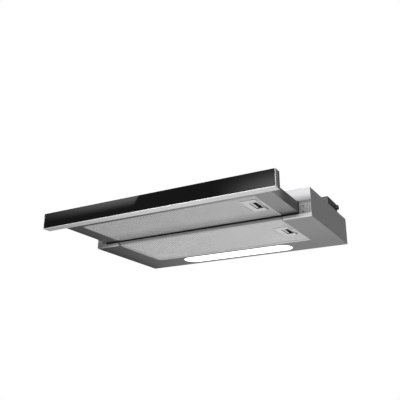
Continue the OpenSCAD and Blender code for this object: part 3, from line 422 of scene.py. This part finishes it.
def tube(bm, points, radius, sides):
    """A closed round tube along points"""
    rings = []
    for k, point in enumerate(points):
        ahead = points[min(k + 1, len(points) - 1)] - points[max(k - 1, 0)]
        turn = ahead.to_track_quat("Z", "Y").to_matrix()
        rings.append([bm.verts.new(point + turn @ on_circle(radius, s, sides)) for s in range(sides)])
    for one, two in zip(rings, rings[1:]):
        for s in range(sides):
            bm.faces.new((one[s - 1], one[s], two[s], two[s - 1]))
    bm.faces.new(rings[0])
    bm.faces.new(rings[-1])


def turned(bm, outline, place, sides):
    """A turned shape: outline is a list of (radius, height), and place its matrix"""
    rings = []
    for radius, height in outline:
        if radius <= 0.0:
            rings.append([bm.verts.new(place @ Vector((0.0, 0.0, height)))])
            continue
        rings.append([bm.verts.new(place @ on_circle(radius, s, sides, height)) for s in range(sides)])
    for one, two in zip(rings, rings[1:]):
        for s in range(sides):
            if len(one) == 1:
                corners = [one[0], two[s], two[s - 1]]
            elif len(two) == 1:
                corners = [one[s - 1], one[s], two[0]]
            else:
                corners = [one[s - 1], one[s], two[s], two[s - 1]]
            bm.faces.new(corners)


def cut(piece, cutter):
    """Takes cutter's shape out of piece, and removes cutter"""
    tool = piece.modifiers.new("Cut", "BOOLEAN")
    tool.operation = "DIFFERENCE"
    tool.solver = "EXACT"
    tool.object = cutter
    bpy.context.view_layer.update()
    done = bpy.data.meshes.new_from_object(piece.evaluated_get(bpy.context.evaluated_depsgraph_get()))
    piece.modifiers.remove(tool)
    piece.data = done
    bpy.data.objects.remove(cutter)
    shade(piece.data)


# Materials

def shader_node(tree, kind, **values):
    """A new node whose inputs or settings have these values"""
    node = tree.nodes.new(kind)
    for name, value in values.items():
        if name in node.inputs:
            node.inputs[name].default_value = value
        else:
            setattr(node, name, value)
    return node


def ramp(tree, value, start, end, low_value, high_value):
    """A smooth change from low_value to high_value"""
    node = shader_node(tree, "ShaderNodeMapRange", interpolation_type="SMOOTHSTEP")
    node.inputs["From Min"].default_value = start
    node.inputs["From Max"].default_value = end
    node.inputs["To Min"].default_value = low_value
    node.inputs["To Max"].default_value = high_value
    tree.links.new(value, node.inputs["Value"])
    return node.outputs["Result"]


def combine(tree, operation, *values):
    """A Math node whose inputs are sockets or numbers"""
    node = shader_node(tree, "ShaderNodeMath", operation=operation)
    for place, value in enumerate(values):
        if isinstance(value, float):
            node.inputs[place].default_value = value
        else:
            tree.links.new(value, node.inputs[place])
    return node.outputs["Value"]


def grain_texture(tree, place, look):
    """Fine noise, pulled along X where the look says so, or the flakes of zinc"""
    stretch = shader_node(tree, "ShaderNodeMapping")
    stretch.inputs["Scale"].default_value = (look.get("stretch", 1.0), 1.0, 1.0)
    tree.links.new(place, stretch.inputs["Vector"])
    scale = 1.0 / (look["grain"] * MM)
    if look.get("spangle"):
        flakes = shader_node(tree, "ShaderNodeTexVoronoi", Scale=scale)
        tree.links.new(stretch.outputs["Vector"], flakes.inputs["Vector"])
        split = shader_node(tree, "ShaderNodeSeparateColor")
        tree.links.new(flakes.outputs["Color"], split.inputs["Color"])
        return split.outputs["Red"]
    fine = shader_node(tree, "ShaderNodeTexNoise", Scale=scale, Detail=GRAIN_DETAIL)
    tree.links.new(stretch.outputs["Vector"], fine.inputs["Vector"])
    return fine.outputs["Fac"]


def mixed_colour(tree, share, one, other):
    """The colours one and other, mixed by a share"""
    mix = shader_node(tree, "ShaderNodeMix", data_type="RGBA")
    mix.inputs[MIX_ONE].default_value = (*one, 1.0)
    mix.inputs[MIX_OTHER].default_value = (*other, 1.0)
    tree.links.new(share, mix.inputs["Factor"])
    return mix.outputs[MIX_RESULT]


def skin_colour(tree, place, grain, look, base):
    """The finish's colour with its mottle and the light and shade painted along its axes"""
    broad = shader_node(tree, "ShaderNodeTexNoise", Scale=MOTTLE_SCALE, Detail=MOTTLE_DETAIL)
    tree.links.new(place, broad.inputs["Vector"])
    spread = shader_node(tree, "ShaderNodeMapRange")
    spread.inputs["From Max"].default_value = FULL_MOTTLE
    tree.links.new(combine(tree, "MULTIPLY", grain, broad.outputs["Fac"]), spread.inputs["Value"])
    skin = mixed_colour(tree, spread.outputs["Result"], base * (1.0 - look["tint"]),
                        base * (1.0 + look["tint"]))
    along = shader_node(tree, "ShaderNodeSeparateXYZ")
    tree.links.new(place, along.inputs["Vector"])
    places = {axis: along.outputs[axis] for axis in ("X", "Y", "Z")}
    places["SIDE"] = combine(tree, "ABSOLUTE", along.outputs["X"])
    # Each of these paints light or shade: it scales the colour along one axis
    for axis, *reach in look.get("painted_shading", ()):
        lift = shader_node(tree, "ShaderNodeVectorMath", operation="SCALE")
        tree.links.new(skin, lift.inputs[0])
        tree.links.new(ramp(tree, places[axis], *reach), lift.inputs["Scale"])
        skin = lift.outputs["Vector"]
    return skin


def finish(slot):
    """The procedural material of a finish, made once"""
    name = "finish_" + slot
    if name in bpy.data.materials:
        return bpy.data.materials[name]
    look = FINISHES[slot]
    material = bpy.data.materials.new(name)
    material.use_nodes = True
    tree = material.node_tree
    surface = tree.nodes["Principled BSDF"]
    surface.inputs["Metallic"].default_value = look["metal"]
    place = shader_node(tree, "ShaderNodeTexCoord").outputs["Object"]
    grain = grain_texture(tree, place, look)
    base = Vector(getattr(bpy.context.scene.hood_colours, slot))
    tree.links.new(skin_colour(tree, place, grain, look, base), surface.inputs["Base Color"])
    haze = shader_node(tree, "ShaderNodeMapRange")
    haze.inputs["To Min"].default_value = max(look["rough"] - look["haze"], LEAST_ROUGH)
    haze.inputs["To Max"].default_value = look["rough"] + look["haze"]
    tree.links.new(grain, haze.inputs["Value"])
    tree.links.new(haze.outputs["Result"], surface.inputs["Roughness"])
    if look["relief"] > 0.0:
        bump = shader_node(tree, "ShaderNodeBump", Strength=1.0, Distance=look["relief"] * MM)
        tree.links.new(grain, bump.inputs["Height"])
        tree.links.new(bump.outputs["Normal"], surface.inputs["Normal"])
    if slot == "lamp_lens":
        surface.inputs["Emission Color"].default_value = WHITE
        surface.inputs["Emission Strength"].default_value = LENS_GLOW
    return material


# Stage

def area_light(name, place, aim, width, depth, power):
    """A light that the camera doesn't see"""
    lamp = bpy.data.lights.new(name, "AREA")
    lamp.shape = "RECTANGLE"
    lamp.size = width
    lamp.size_y = depth
    lamp.energy = power
    obj = link(bpy.data.objects.new(name, lamp))
    obj.location = place
    obj.rotation_euler = (Vector(aim) - Vector(place)).to_track_quat("-Z", "Y").to_euler()
    obj.visible_camera = False


def glow_material(name, build):
    """An emission material whose strength is worked out by build from the object's coordinates"""
    material = bpy.data.materials.new(name)
    material.use_nodes = True
    tree = material.node_tree
    tree.nodes.clear()
    place = shader_node(tree, "ShaderNodeTexCoord")
    split = shader_node(tree, "ShaderNodeSeparateXYZ")
    tree.links.new(place.outputs["Object"], split.inputs["Vector"])
    glow = shader_node(tree, "ShaderNodeEmission")
    tree.links.new(build(tree, split.outputs["X"], split.outputs["Z"]), glow.inputs["Strength"])
    out = shader_node(tree, "ShaderNodeOutputMaterial")
    tree.links.new(glow.outputs["Emission"], out.inputs["Surface"])
    return material


class HOOD_OT_stage(Operator):
    """Camera, lights, pale floor and the white surround"""
    bl_idname = "hood.stage"
    bl_label = "Stage"

    def execute(self, context):
        studio = context.scene.hood_studio
        context.scene.view_settings.view_transform = "Standard"
        view = bpy.data.cameras.new("camera")
        view.sensor_width = 36.0
        view.lens = studio.lens
        camera = link(bpy.data.objects.new("camera", view))
        camera.location = (studio.camera_x, studio.camera_y, studio.camera_z)
        camera.rotation_euler = (math.pi / 2 + studio.pitch, 0.0, studio.yaw)
        context.scene.camera = camera
        self.world(context, studio)
        self.floor(context, studio)
        for *light, power in LIGHTS:
            area_light(*light, getattr(studio, power))
        self.front_board(context)
        self.back_board(context)
        return {"FINISHED"}

    def world(self, context, studio):
        """White for the camera, and a weaker light for all else"""
        world = bpy.data.worlds.new("surround")
        context.scene.world = world
        world.use_nodes = True
        tree = world.node_tree
        tree.nodes.clear()
        light = shader_node(tree, "ShaderNodeBackground", Color=WHITE, Strength=studio.world)
        white = shader_node(tree, "ShaderNodeBackground", Color=WHITE, Strength=1.0)
        out = shader_node(tree, "ShaderNodeOutputWorld")
        self.camera_sees(tree, light.outputs["Background"], white.outputs["Background"], out)

    def camera_sees(self, tree, real, seen, out):
        """Sends one shader to the camera and another to all other rays"""
        path = shader_node(tree, "ShaderNodeLightPath")
        mix = shader_node(tree, "ShaderNodeMixShader")
        tree.links.new(path.outputs["Is Camera Ray"], mix.inputs[0])
        tree.links.new(real, mix.inputs[1])
        tree.links.new(seen, mix.inputs[2])
        tree.links.new(mix.outputs["Shader"], out.inputs["Surface"])

    def floor(self, context, studio):
        """The camera sees a pale floor, while little light comes back up from it"""
        bm = bmesh.new()
        bmesh.ops.create_grid(bm, x_segments=8, y_segments=8, size=FLOOR_HALF)
        floor = mesh_piece("studio_floor", bm)
        floor.location.z = studio.floor_z
        material = bpy.data.materials.new("studio_floor")
        material.use_nodes = True
        tree = material.node_tree
        surface = tree.nodes["Principled BSDF"]
        surface.inputs["Roughness"].default_value = 0.9
        cloud = shader_node(tree, "ShaderNodeTexNoise", Scale=1.5)
        base = Vector(context.scene.hood_colours.floor)
        skin = mixed_colour(tree, cloud.outputs["Fac"], base * FLOOR_MOTTLE, base)
        tree.links.new(skin, surface.inputs["Base Color"])
        pale = shader_node(tree, "ShaderNodeEmission", Color=FLOOR_PALE, Strength=1.0)
        self.camera_sees(tree, surface.outputs["BSDF"], pale.outputs["Emission"],
                         tree.nodes["Material Output"])
        floor.data.materials.append(material)

    def front_board(self, context):
        """A graded board in front and to the left, which the front glass and the lip mirror"""
        low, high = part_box("glass_panel")
        board_y = low.y - BOARD_AHEAD
        eye = context.scene.camera.location

        def mirrored(x, z):
            """Where the camera sees the board in this place of the glass"""
            reach = (low.y - board_y) / (low.y - eye.y)
            return x + (x - eye.x) * reach, z + (z - eye.z) * reach

        left, bottom = mirrored(low.x, low.z)
        right, top = mirrored(high.x, high.z)
        edge = mirrored(PATCH_END_X, low.z)[0]
        rise = top - bottom

        def grading(tree, x, z):
            # The bright patch on the left grows towards its slanted edge and towards the top
            along = ramp(tree, x, left - 0.15, edge, 0.15, 2.0)
            up = ramp(tree, z, bottom + 0.25 * rise, top + 0.1 * rise, 0.0, 1.0)
            slanted = combine(tree, "MULTIPLY_ADD", z, PATCH_LEAN, x)
            at_edge = edge + PATCH_LEAN * (bottom + top) / 2
            inside = ramp(tree, slanted, at_edge - PATCH_BLUR, at_edge + PATCH_BLUR, 1.0, 0.0)
            patch = combine(tree, "MULTIPLY", combine(tree, "MULTIPLY", along, up), inside)
            # The glow on the right grows towards the panel's end and towards the bottom
            across = ramp(tree, x, right - 0.36, right + 0.05, 0.0, 2.4)
            down = ramp(tree, z, bottom - 0.4 * rise, top + 0.3 * rise, 1.0, 0.1)
            return combine(tree, "ADD", patch, combine(tree, "MULTIPLY", across, down))

        self.board("front_board", (left - 0.5, right + 0.5), board_y, (bottom - 0.35, top + 0.35), grading)

    def back_board(self, context):
        """A graded board behind and below, which the steel of the underside mirrors"""
        across = (-3.0, 1.5)
        height = (-1.55, -0.15)
        behind = 1.7
        dark_until = -1.65
        bright_from = -0.7

        def grading(tree, x, z):
            return ramp(tree, x, dark_until, bright_from, 0.03, 0.36)

        self.board("back_board", across, behind, height, grading)

    def board(self, name, across, y, height, grading):
        """A glowing upright board that only mirrors show"""
        bm = bmesh.new()
        (left, right), (low, high) = across, height
        corners = ((left, low), (right, low), (right, high), (left, high))
        bm.faces.new([bm.verts.new((x, y, z)) for x, z in corners])
        board = mesh_piece(name, bm)
        board.data.materials.append(glow_material(name, grading))
        board.visible_camera = False
        board.visible_diffuse = False
        board.visible_shadow = False


# The hood's pieces

class HOOD_OT_front_panel(Operator):
    """Black glass, the aluminium profile under it and the two ends"""
    bl_idname = "hood.front_panel"
    bl_label = "Front panel"

    def execute(self, context):
        sizes = context.scene.hood_sizes
        rounded("glass_panel", sizes.glass_edge, 3)
        rounded("front_profile", sizes.sheet_edge, 3)
        # The end plates get a darker copy of the profile's aluminium: painted shade
        rounded("end_plates", sizes.sheet_edge, 3, slot="plate_aluminium")
        rounded("end_plugs", sizes.plastic_edge, 3, slot="plug_plastic")
        return {"FINISHED"}


class HOOD_OT_tray(Operator):
    """Tray pan, its cover, glides and magnet"""
    bl_idname = "hood.tray"
    bl_label = "Tray"

    def execute(self, context):
        sizes = context.scene.hood_sizes
        # The tray's steel gets painted shade at its left edge and towards the housing
        pan = rounded("tray_pan", sizes.sheet_edge, slot="tray_steel")
        side_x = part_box("tray_pan")[1].x - MM
        # The tray's upright sides get dark grey, partly paint and partly painted shade
        second_finish(pan, "side_steel",
                      lambda face: abs(face.normal.x) > FACING and abs(face.center.x) > side_x)
        rounded("tray_cover", sizes.sheet_edge, slot="cover_steel")
        rounded("tray_glides", sizes.sheet_edge)
        rounded("tray_magnet", sizes.plastic_edge)
        rounded("tray_hinge", sizes.sheet_edge)
        return {"FINISHED"}


class HOOD_OT_housing(Operator):
    """Housing shell, underside, crossbar, rails, pads and the seal"""
    bl_idname = "hood.housing"
    bl_label = "Housing"

    def execute(self, context):
        sizes = context.scene.hood_sizes
        shell = rounded("base_shell", sizes.sheet_edge)
        front_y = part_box("base_shell")[0].y
        # The housing's front gets painted shade towards the bottom
        second_finish(shell, "front_paint",
                      lambda face: face.normal.y < -FACING and face.center.y < front_y + 2 * MM)
        for node in ("front_crossbar", "guide_rail_left", "guide_rail_right", "rear_hinge"):
            rounded(node, sizes.sheet_edge)
        bottom = rounded("bottom_frame", sizes.sheet_edge)
        # The lip is curved, so some of its faces look only partly to the front
        partly = 0.25
        # The lip gets a lighter copy of the steel, painted light, with painted shade under the tray and to
        # the left
        second_finish(bottom, "lip_steel",
                      lambda face: face.normal.y < -partly and face.center.y < front_y + 6 * MM)
        for node in ("front_pads", "tray_switch"):
            rounded(node, sizes.plastic_edge)
        # The seal is real, and its black also paints the shade of the gap between the tray and the lip
        rounded("tray_seal", sizes.sheet_edge)
        return {"FINISHED"}


class HOOD_OT_guide_caps(Operator):
    """Plastic caps beside the tray, with their field of dimples"""
    bl_idname = "hood.guide_caps"
    bl_label = "Guide caps"

    def execute(self, context):
        sizes = context.scene.hood_sizes
        for side in ("left", "right"):
            node = "guide_cap_" + side
            piece = mesh_piece(node + "_rounded", rounded_mesh(node, sizes.sheet_edge))
            cut(piece, self.dimples(node, sizes))
            # The cap gets painted shade towards its top
            carry(piece, node, slot="guide_plastic")
            # The dimples get near black: painted shade
            second_finish(piece, "dark_plastic", self.in_dimple(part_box(node)[0].y))
        return {"FINISHED"}

    def in_dimple(self, face_y):
        """A test for the small faces that lie a little behind the cap's face, which get painted shade"""
        deep = (face_y + 0.3 * MM, face_y + 1.2 * MM)
        largest = 6 * MM ** 2
        return lambda face: deep[0] < face.center.y < deep[1] and face.area < largest

    def dimples(self, node, sizes):
        """Rows of short rods across the cap's face"""
        low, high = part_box(node)
        screws = [(a + b) / 2 for a, b in islands("body_screws")]
        deep = 0.8 * MM
        margin = 3.2 * MM
        round_screw = 3.0 * MM
        bm = bmesh.new()
        columns = int((high.x - low.x - 2 * margin) / sizes.dot_pitch)
        rows = int((high.z - low.z - 2 * margin) / sizes.dot_pitch)
        for i in range(columns + 1):
            for j in range(rows + 1):
                x = low.x + margin + i * sizes.dot_pitch
                z = low.z + margin + j * sizes.dot_pitch
                if min(math.hypot(x - s.x, z - s.z) for s in screws) < round_screw:
                    continue
                place = Matrix.Translation((x, low.y - deep, z)) @ Matrix.Rotation(-math.pi / 2, 4, "X")
                turned(bm, [(0.0, 0.0), (sizes.dot, 0.0), (sizes.dot, 2 * deep), (0.0, 2 * deep)], place, 8)
        return mesh_piece("cap_dimples", bm)


class HOOD_OT_filters(Operator):
    """Both grease filters: frames and layers of expanded mesh"""
    bl_idname = "hood.filters"
    bl_label = "Grease filters"

    def execute(self, context):
        sizes = context.scene.hood_sizes
        for where in ("rear", "tray"):
            piece = rounded(where + "_filter_frame", sizes.sheet_edge)
            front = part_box(where + "_filter_frame")[0].y + sizes.frame_front
            # The bent front edge gets a darker copy of the frame's aluminium: painted shade
            second_finish(piece, "frame_front", lambda face: face.center.y < front)
            self.mesh_pad(where, sizes)
        return {"FINISHED"}

    def mesh_pad(self, where, sizes):
        """The layers of expanded mesh of one filter"""
        node = where + "_filter_mesh"
        inset = Vector((2.5 * MM, 2.5 * MM, 0.0))
        plate_low, plate_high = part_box(where + "_latch_plate")
        keep_out = (plate_low + inset, plate_high - inset)
        short = sizes.rear_short if where == "rear" else sizes.tray_short
        gap = Vector((sizes.mesh_gap, sizes.mesh_gap, 0.0))
        bm = bmesh.new()
        for k, (low, high) in enumerate(islands(node)):
            # The lowest layer, which shows, has the finest cells
            coarse = 1.0 if k == 0 else INNER_COARSE
            before = len(bm.faces)
            self.layer(bm, low + gap, high - gap, keep_out, (sizes.cell_long * coarse, short * coarse),
                       sizes)
            # The layers behind the lowest one get a near black finish: painted shade inside the filter
            bm.faces.ensure_lookup_table()
            for face in bm.faces[before:]:
                face.material_index = min(k, 1)
        piece = mesh_piece(node + "_expanded", bm)
        skin = piece.modifiers.new("Sheet", "SOLIDIFY")
        skin.thickness = sizes.strand_thick
        skin.offset = 0.0
        # The tray's mesh gets a darker copy, darker still towards the housing: painted shade
        carry(piece, node, slot="tray_mesh" if where == "tray" else None)
        piece.data.materials.append(finish("mesh_deep"))

    def layer(self, bm, low, high, keep_out, cell, sizes):
        """One layer of diamonds between two corners, less the latch's place"""
        wide = high.x - low.x
        deep = high.y - low.y
        nx = 2 * round(wide / cell[0])
        ny = 2 * round(deep / cell[1])
        z = (low.z + high.z) / 2
        corners = {}

        def corner(i, j):
            """The point of a place in the grid, shared by the cells round it"""
            key = (min(max(i, 0), nx), min(max(j, 0), ny))
            if key not in corners:
                corners[key] = bm.verts.new((low.x + wide * key[0] / nx, low.y + deep * key[1] / ny, z))
            return corners[key]

        for i in range(nx + 1):
            for j in range(i % 2, ny + 1, 2):
                x = low.x + wide * i / nx
                y = low.y + deep * j / ny
                if keep_out[0].x < x < keep_out[1].x and keep_out[0].y < y < keep_out[1].y:
                    continue
                # Half and quarter cells at the rim have fewer corners
                ring = list(dict.fromkeys((corner(i + 1, j), corner(i, j + 1), corner(i - 1, j),
                                           corner(i, j - 1))))
                middle = sum((v.co for v in ring), Vector()) / len(ring)
                inner = []
                for vert in ring:
                    away = (vert.co - middle) * (1.0 - sizes.strand_share)
                    lean = sizes.strand_tilt * (1.0 if away.y > 0.1 * MM else -1.0)
                    inner.append(bm.verts.new(middle + away + Vector((0.0, 0.0, lean))))
                for k in range(len(ring)):
                    bm.faces.new((ring[k - 1], ring[k], inner[k], inner[k - 1]))


class HOOD_OT_latches(Operator):
    """Latch plates, levers and their coil springs"""
    bl_idname = "hood.latches"
    bl_label = "Latches"

    def execute(self, context):
        sizes = context.scene.hood_sizes
        for where in ("rear", "tray"):
            low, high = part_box(where + "_latch_plate")
            plate = rounded(where + "_latch_plate", sizes.sheet_edge)
            # The tub and the window's walls get near black: painted shade
            second_finish(plate, "latch_inside", self.in_tub(low, high))
            lever = rounded(where + "_latch_lever", sizes.sheet_edge, 3)
            # What lies deeper than the light face gets near black: painted shade of the tub's dark inside
            deep = low.z + sizes.latch_skin
            second_finish(lever, "latch_inside", lambda face: face.center.z > deep)
            self.springs(where, sizes)
        return {"FINISHED"}

    def in_tub(self, low, high):
        """A test for the tub behind the plate's face and for the sides of its window, which get painted
        shade
        """
        behind = low.z + 1.45 * MM
        rim = Vector((2 * MM, 8 * MM, 0.0))
        first = low + rim
        last = high - rim

        def test(face):
            upright = abs(face.normal.z) < 0.5
            in_window = first.x < face.center.x < last.x and first.y < face.center.y < last.y
            return face.center.z > behind or (upright and in_window)

        return test

    def springs(self, where, sizes):
        """The two coils of a latch"""
        node = where + "_latch_springs"
        bm = bmesh.new()
        steps = 16
        for low, high in islands(node):
            coil = (high.z - low.z) / 2 - sizes.spring_wire / 2
            mid = (low + high) / 2
            start = low.x + sizes.spring_wire / 2
            run = high.x - low.x - sizes.spring_wire
            count = sizes.spring_turns * steps
            points = []
            for k in range(count + 1):
                across, up, _ = on_circle(coil, k, steps)
                points.append(Vector((start + run * k / count, mid.y + across, mid.z + up)))
            tube(bm, points, sizes.spring_wire / 2, 6)
        piece = mesh_piece(node + "_coil", bm)
        carry(piece, node)
        low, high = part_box(node)
        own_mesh(piece)


class HOOD_OT_lamp(Operator):
    """Lamp tub, board, lens, driver and lead"""
    bl_idname = "hood.lamp"
    bl_label = "Lamp"

    def execute(self, context):
        sizes = context.scene.hood_sizes
        rounded("lamp_housing", sizes.sheet_edge)
        rounded("led_board", sizes.sheet_edge)
        rounded("lamp_lens", sizes.plastic_edge, 3)
        rounded("led_driver", sizes.thick_edge, 3)
        rounded("lamp_lead", sizes.sheet_edge)
        return {"FINISHED"}


class HOOD_OT_fan(Operator):
    """Fan casing, scroll, inlet, motor and impeller"""
    bl_idname = "hood.fan"
    bl_label = "Fan"

    def execute(self, context):
        sizes = context.scene.hood_sizes
        for node in ("fan_casing", "casing_cover", "motor_bracket", "motor_shaft", "impeller", "fan_scroll",
                     "inlet_ring"):
            rounded(node, sizes.sheet_edge)
        rounded("motor", sizes.thick_edge, 3)
        return {"FINISHED"}


class HOOD_OT_outlet(Operator):
    """Outlet spigot and its two flaps on a rod"""
    bl_idname = "hood.outlet"
    bl_label = "Outlet"

    def execute(self, context):
        sizes = context.scene.hood_sizes
        for node in ("outlet_spigot", "flap_front", "flap_rear", "flap_rod"):
            rounded(node, sizes.sheet_edge)
        return {"FINISHED"}


class HOOD_OT_electrics(Operator):
    """Terminal box with what it holds, its gland and the inner leads"""
    bl_idname = "hood.electrics"
    bl_label = "Electrics"

    def execute(self, context):
        sizes = context.scene.hood_sizes
        for node in ("terminal_box", "terminal_cover"):
            rounded(node, sizes.plastic_edge, 3)
        for node in ("terminal_block", "capacitor", "cable_gland", "box_leads"):
            rounded(node, sizes.sheet_edge)
        return {"FINISHED"}


class HOOD_OT_controls(Operator):
    """Control box and its two slide switches"""
    bl_idname = "hood.controls"
    bl_label = "Controls"

    def execute(self, context):
        sizes = context.scene.hood_sizes
        rounded("control_box", sizes.plastic_edge)
        rounded("light_slider", sizes.slider_edge)
        rounded("speed_slider", sizes.slider_edge)
        return {"FINISHED"}


class HOOD_OT_screws(Operator):
    """Pan head screws with their cross recess"""
    bl_idname = "hood.screws"
    bl_label = "Screws"

    def execute(self, context):
        # The axis of each node's screws, and the way that their heads look along it
        for node, axis, sign in (("casing_screws", 2, 1), ("tray_screws", 1, 1), ("body_screws", 1, -1)):
            self.screws(node, axis, sign)
        return {"FINISHED"}

    def screws(self, node, axis, sign):
        """All screws of a node, with their recesses cut"""
        bm = bmesh.new()
        recess = bmesh.new()
        for low, high in islands(node):
            size = high - low
            # A screw that is narrower along X than it is high goes through the tray's side
            through_side = size.x < 0.8 * size.z
            if through_side:
                self.screw(bm, recess, low, high, 0, -1 if low.x > 0 else 1)
            else:
                self.screw(bm, recess, low, high, axis, sign)
        piece = mesh_piece(node + "_heads", bm)
        cut(piece, mesh_piece(node + "_recess", recess))
        carry(piece, node, slot="dark_steel" if node == "body_screws" else None)

    def screw(self, bm, recess, low, high, axis, out):
        """One screw that fills a box, with its head at the end that out gives"""
        mid = (low + high) / 2
        across = [k for k in range(3) if k != axis]
        head_r = (high[across[0]] - low[across[0]]) / 2
        long = high[axis] - low[axis]
        direction = Vector((0.0, 0.0, 0.0))
        direction[axis] = out
        turn = direction.to_track_quat("Z", "Y").to_matrix().to_4x4()
        place = Matrix.Translation(mid - direction * long / 2) @ turn
        head = min(0.6 * head_r, 0.3 * long)
        shank = 0.42 * head_r
        point = [(0.0, 0.0), (0.6 * shank, 0.0), (shank, shank), (shank, long - head)]
        # The head's edge is upright below and domed above
        dome = [(head_r, long - head), (head_r, long - 0.55 * head), (0.86 * head_r, long - 0.16 * head),
                (0.6 * head_r, long), (0.0, long)]
        turned(bm, point + dome, place, 24)
        self.cross(recess, place, 0.55 * head_r, 0.13 * head_r, long - 0.5 * head, long + head)

    def cross(self, bm, place, reach, half, low, high):
        """A cross shaped prism, pointed below"""
        ring = []
        pointed = 0.6
        for quarter in range(4):
            turn = Matrix.Rotation(quarter * math.pi / 2, 4, "Z")
            for x, y in ((reach, -half), (reach, half), (half, half)):
                ring.append(turn @ Vector((x, y, 0.0)))
        bottom = [bm.verts.new(place @ Vector((pointed * v.x, pointed * v.y, low))) for v in ring]
        top = [bm.verts.new(place @ Vector((v.x, v.y, high))) for v in ring]
        for k in range(len(ring)):
            bm.faces.new((bottom[k - 1], bottom[k], top[k], top[k - 1]))
        bm.faces.new(top)
        bm.faces.new(bottom)


class HOOD_PT_sidebar(Panel):
    """Lists the hood's pieces in the 3D view's sidebar"""
    bl_idname = "HOOD_PT_sidebar"
    bl_label = "Cooker hood"
    bl_space_type = "VIEW_3D"
    bl_region_type = "UI"
    bl_category = "Hood"

    def draw(self, context):
        for operator in OPERATORS:
            self.layout.operator(operator.bl_idname)
        for group in (context.scene.hood_sizes, context.scene.hood_colours, context.scene.hood_studio):
            for name in group.__annotations__:
                self.layout.prop(group, name)


OPERATORS = (HOOD_OT_stage, HOOD_OT_front_panel, HOOD_OT_tray, HOOD_OT_housing, HOOD_OT_guide_caps,
             HOOD_OT_filters, HOOD_OT_latches, HOOD_OT_lamp, HOOD_OT_fan, HOOD_OT_outlet,
             HOOD_OT_electrics, HOOD_OT_controls, HOOD_OT_screws)
GROUPS = (("hood_colours", HoodColours), ("hood_sizes", HoodSizes), ("hood_studio", HoodStudio))


def register():
    """Registers the values, the operators and the panel"""
    for name, group in GROUPS:
        bpy.utils.register_class(group)
        setattr(bpy.types.Scene, name, PointerProperty(type=group))
    for operator in OPERATORS:
        bpy.utils.register_class(operator)
    bpy.utils.register_class(HOOD_PT_sidebar)


def unregister():
    """Takes back what register did"""
    bpy.utils.unregister_class(HOOD_PT_sidebar)
    for operator in reversed(OPERATORS):
        bpy.utils.unregister_class(operator)
    for name, group in reversed(GROUPS):
        delattr(bpy.types.Scene, name)
        bpy.utils.unregister_class(group)


def main():
    """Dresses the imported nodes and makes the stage"""
    register()
    for node, obj in frame["nodes"].items():
        obj.data.materials.clear()
        obj.data.materials.append(finish(slot_of[node]))
    for operator in OPERATORS:
        group, call = operator.bl_idname.split(".")
        getattr(getattr(bpy.ops, group), call)()


if __name__ == "__main__":
    main()
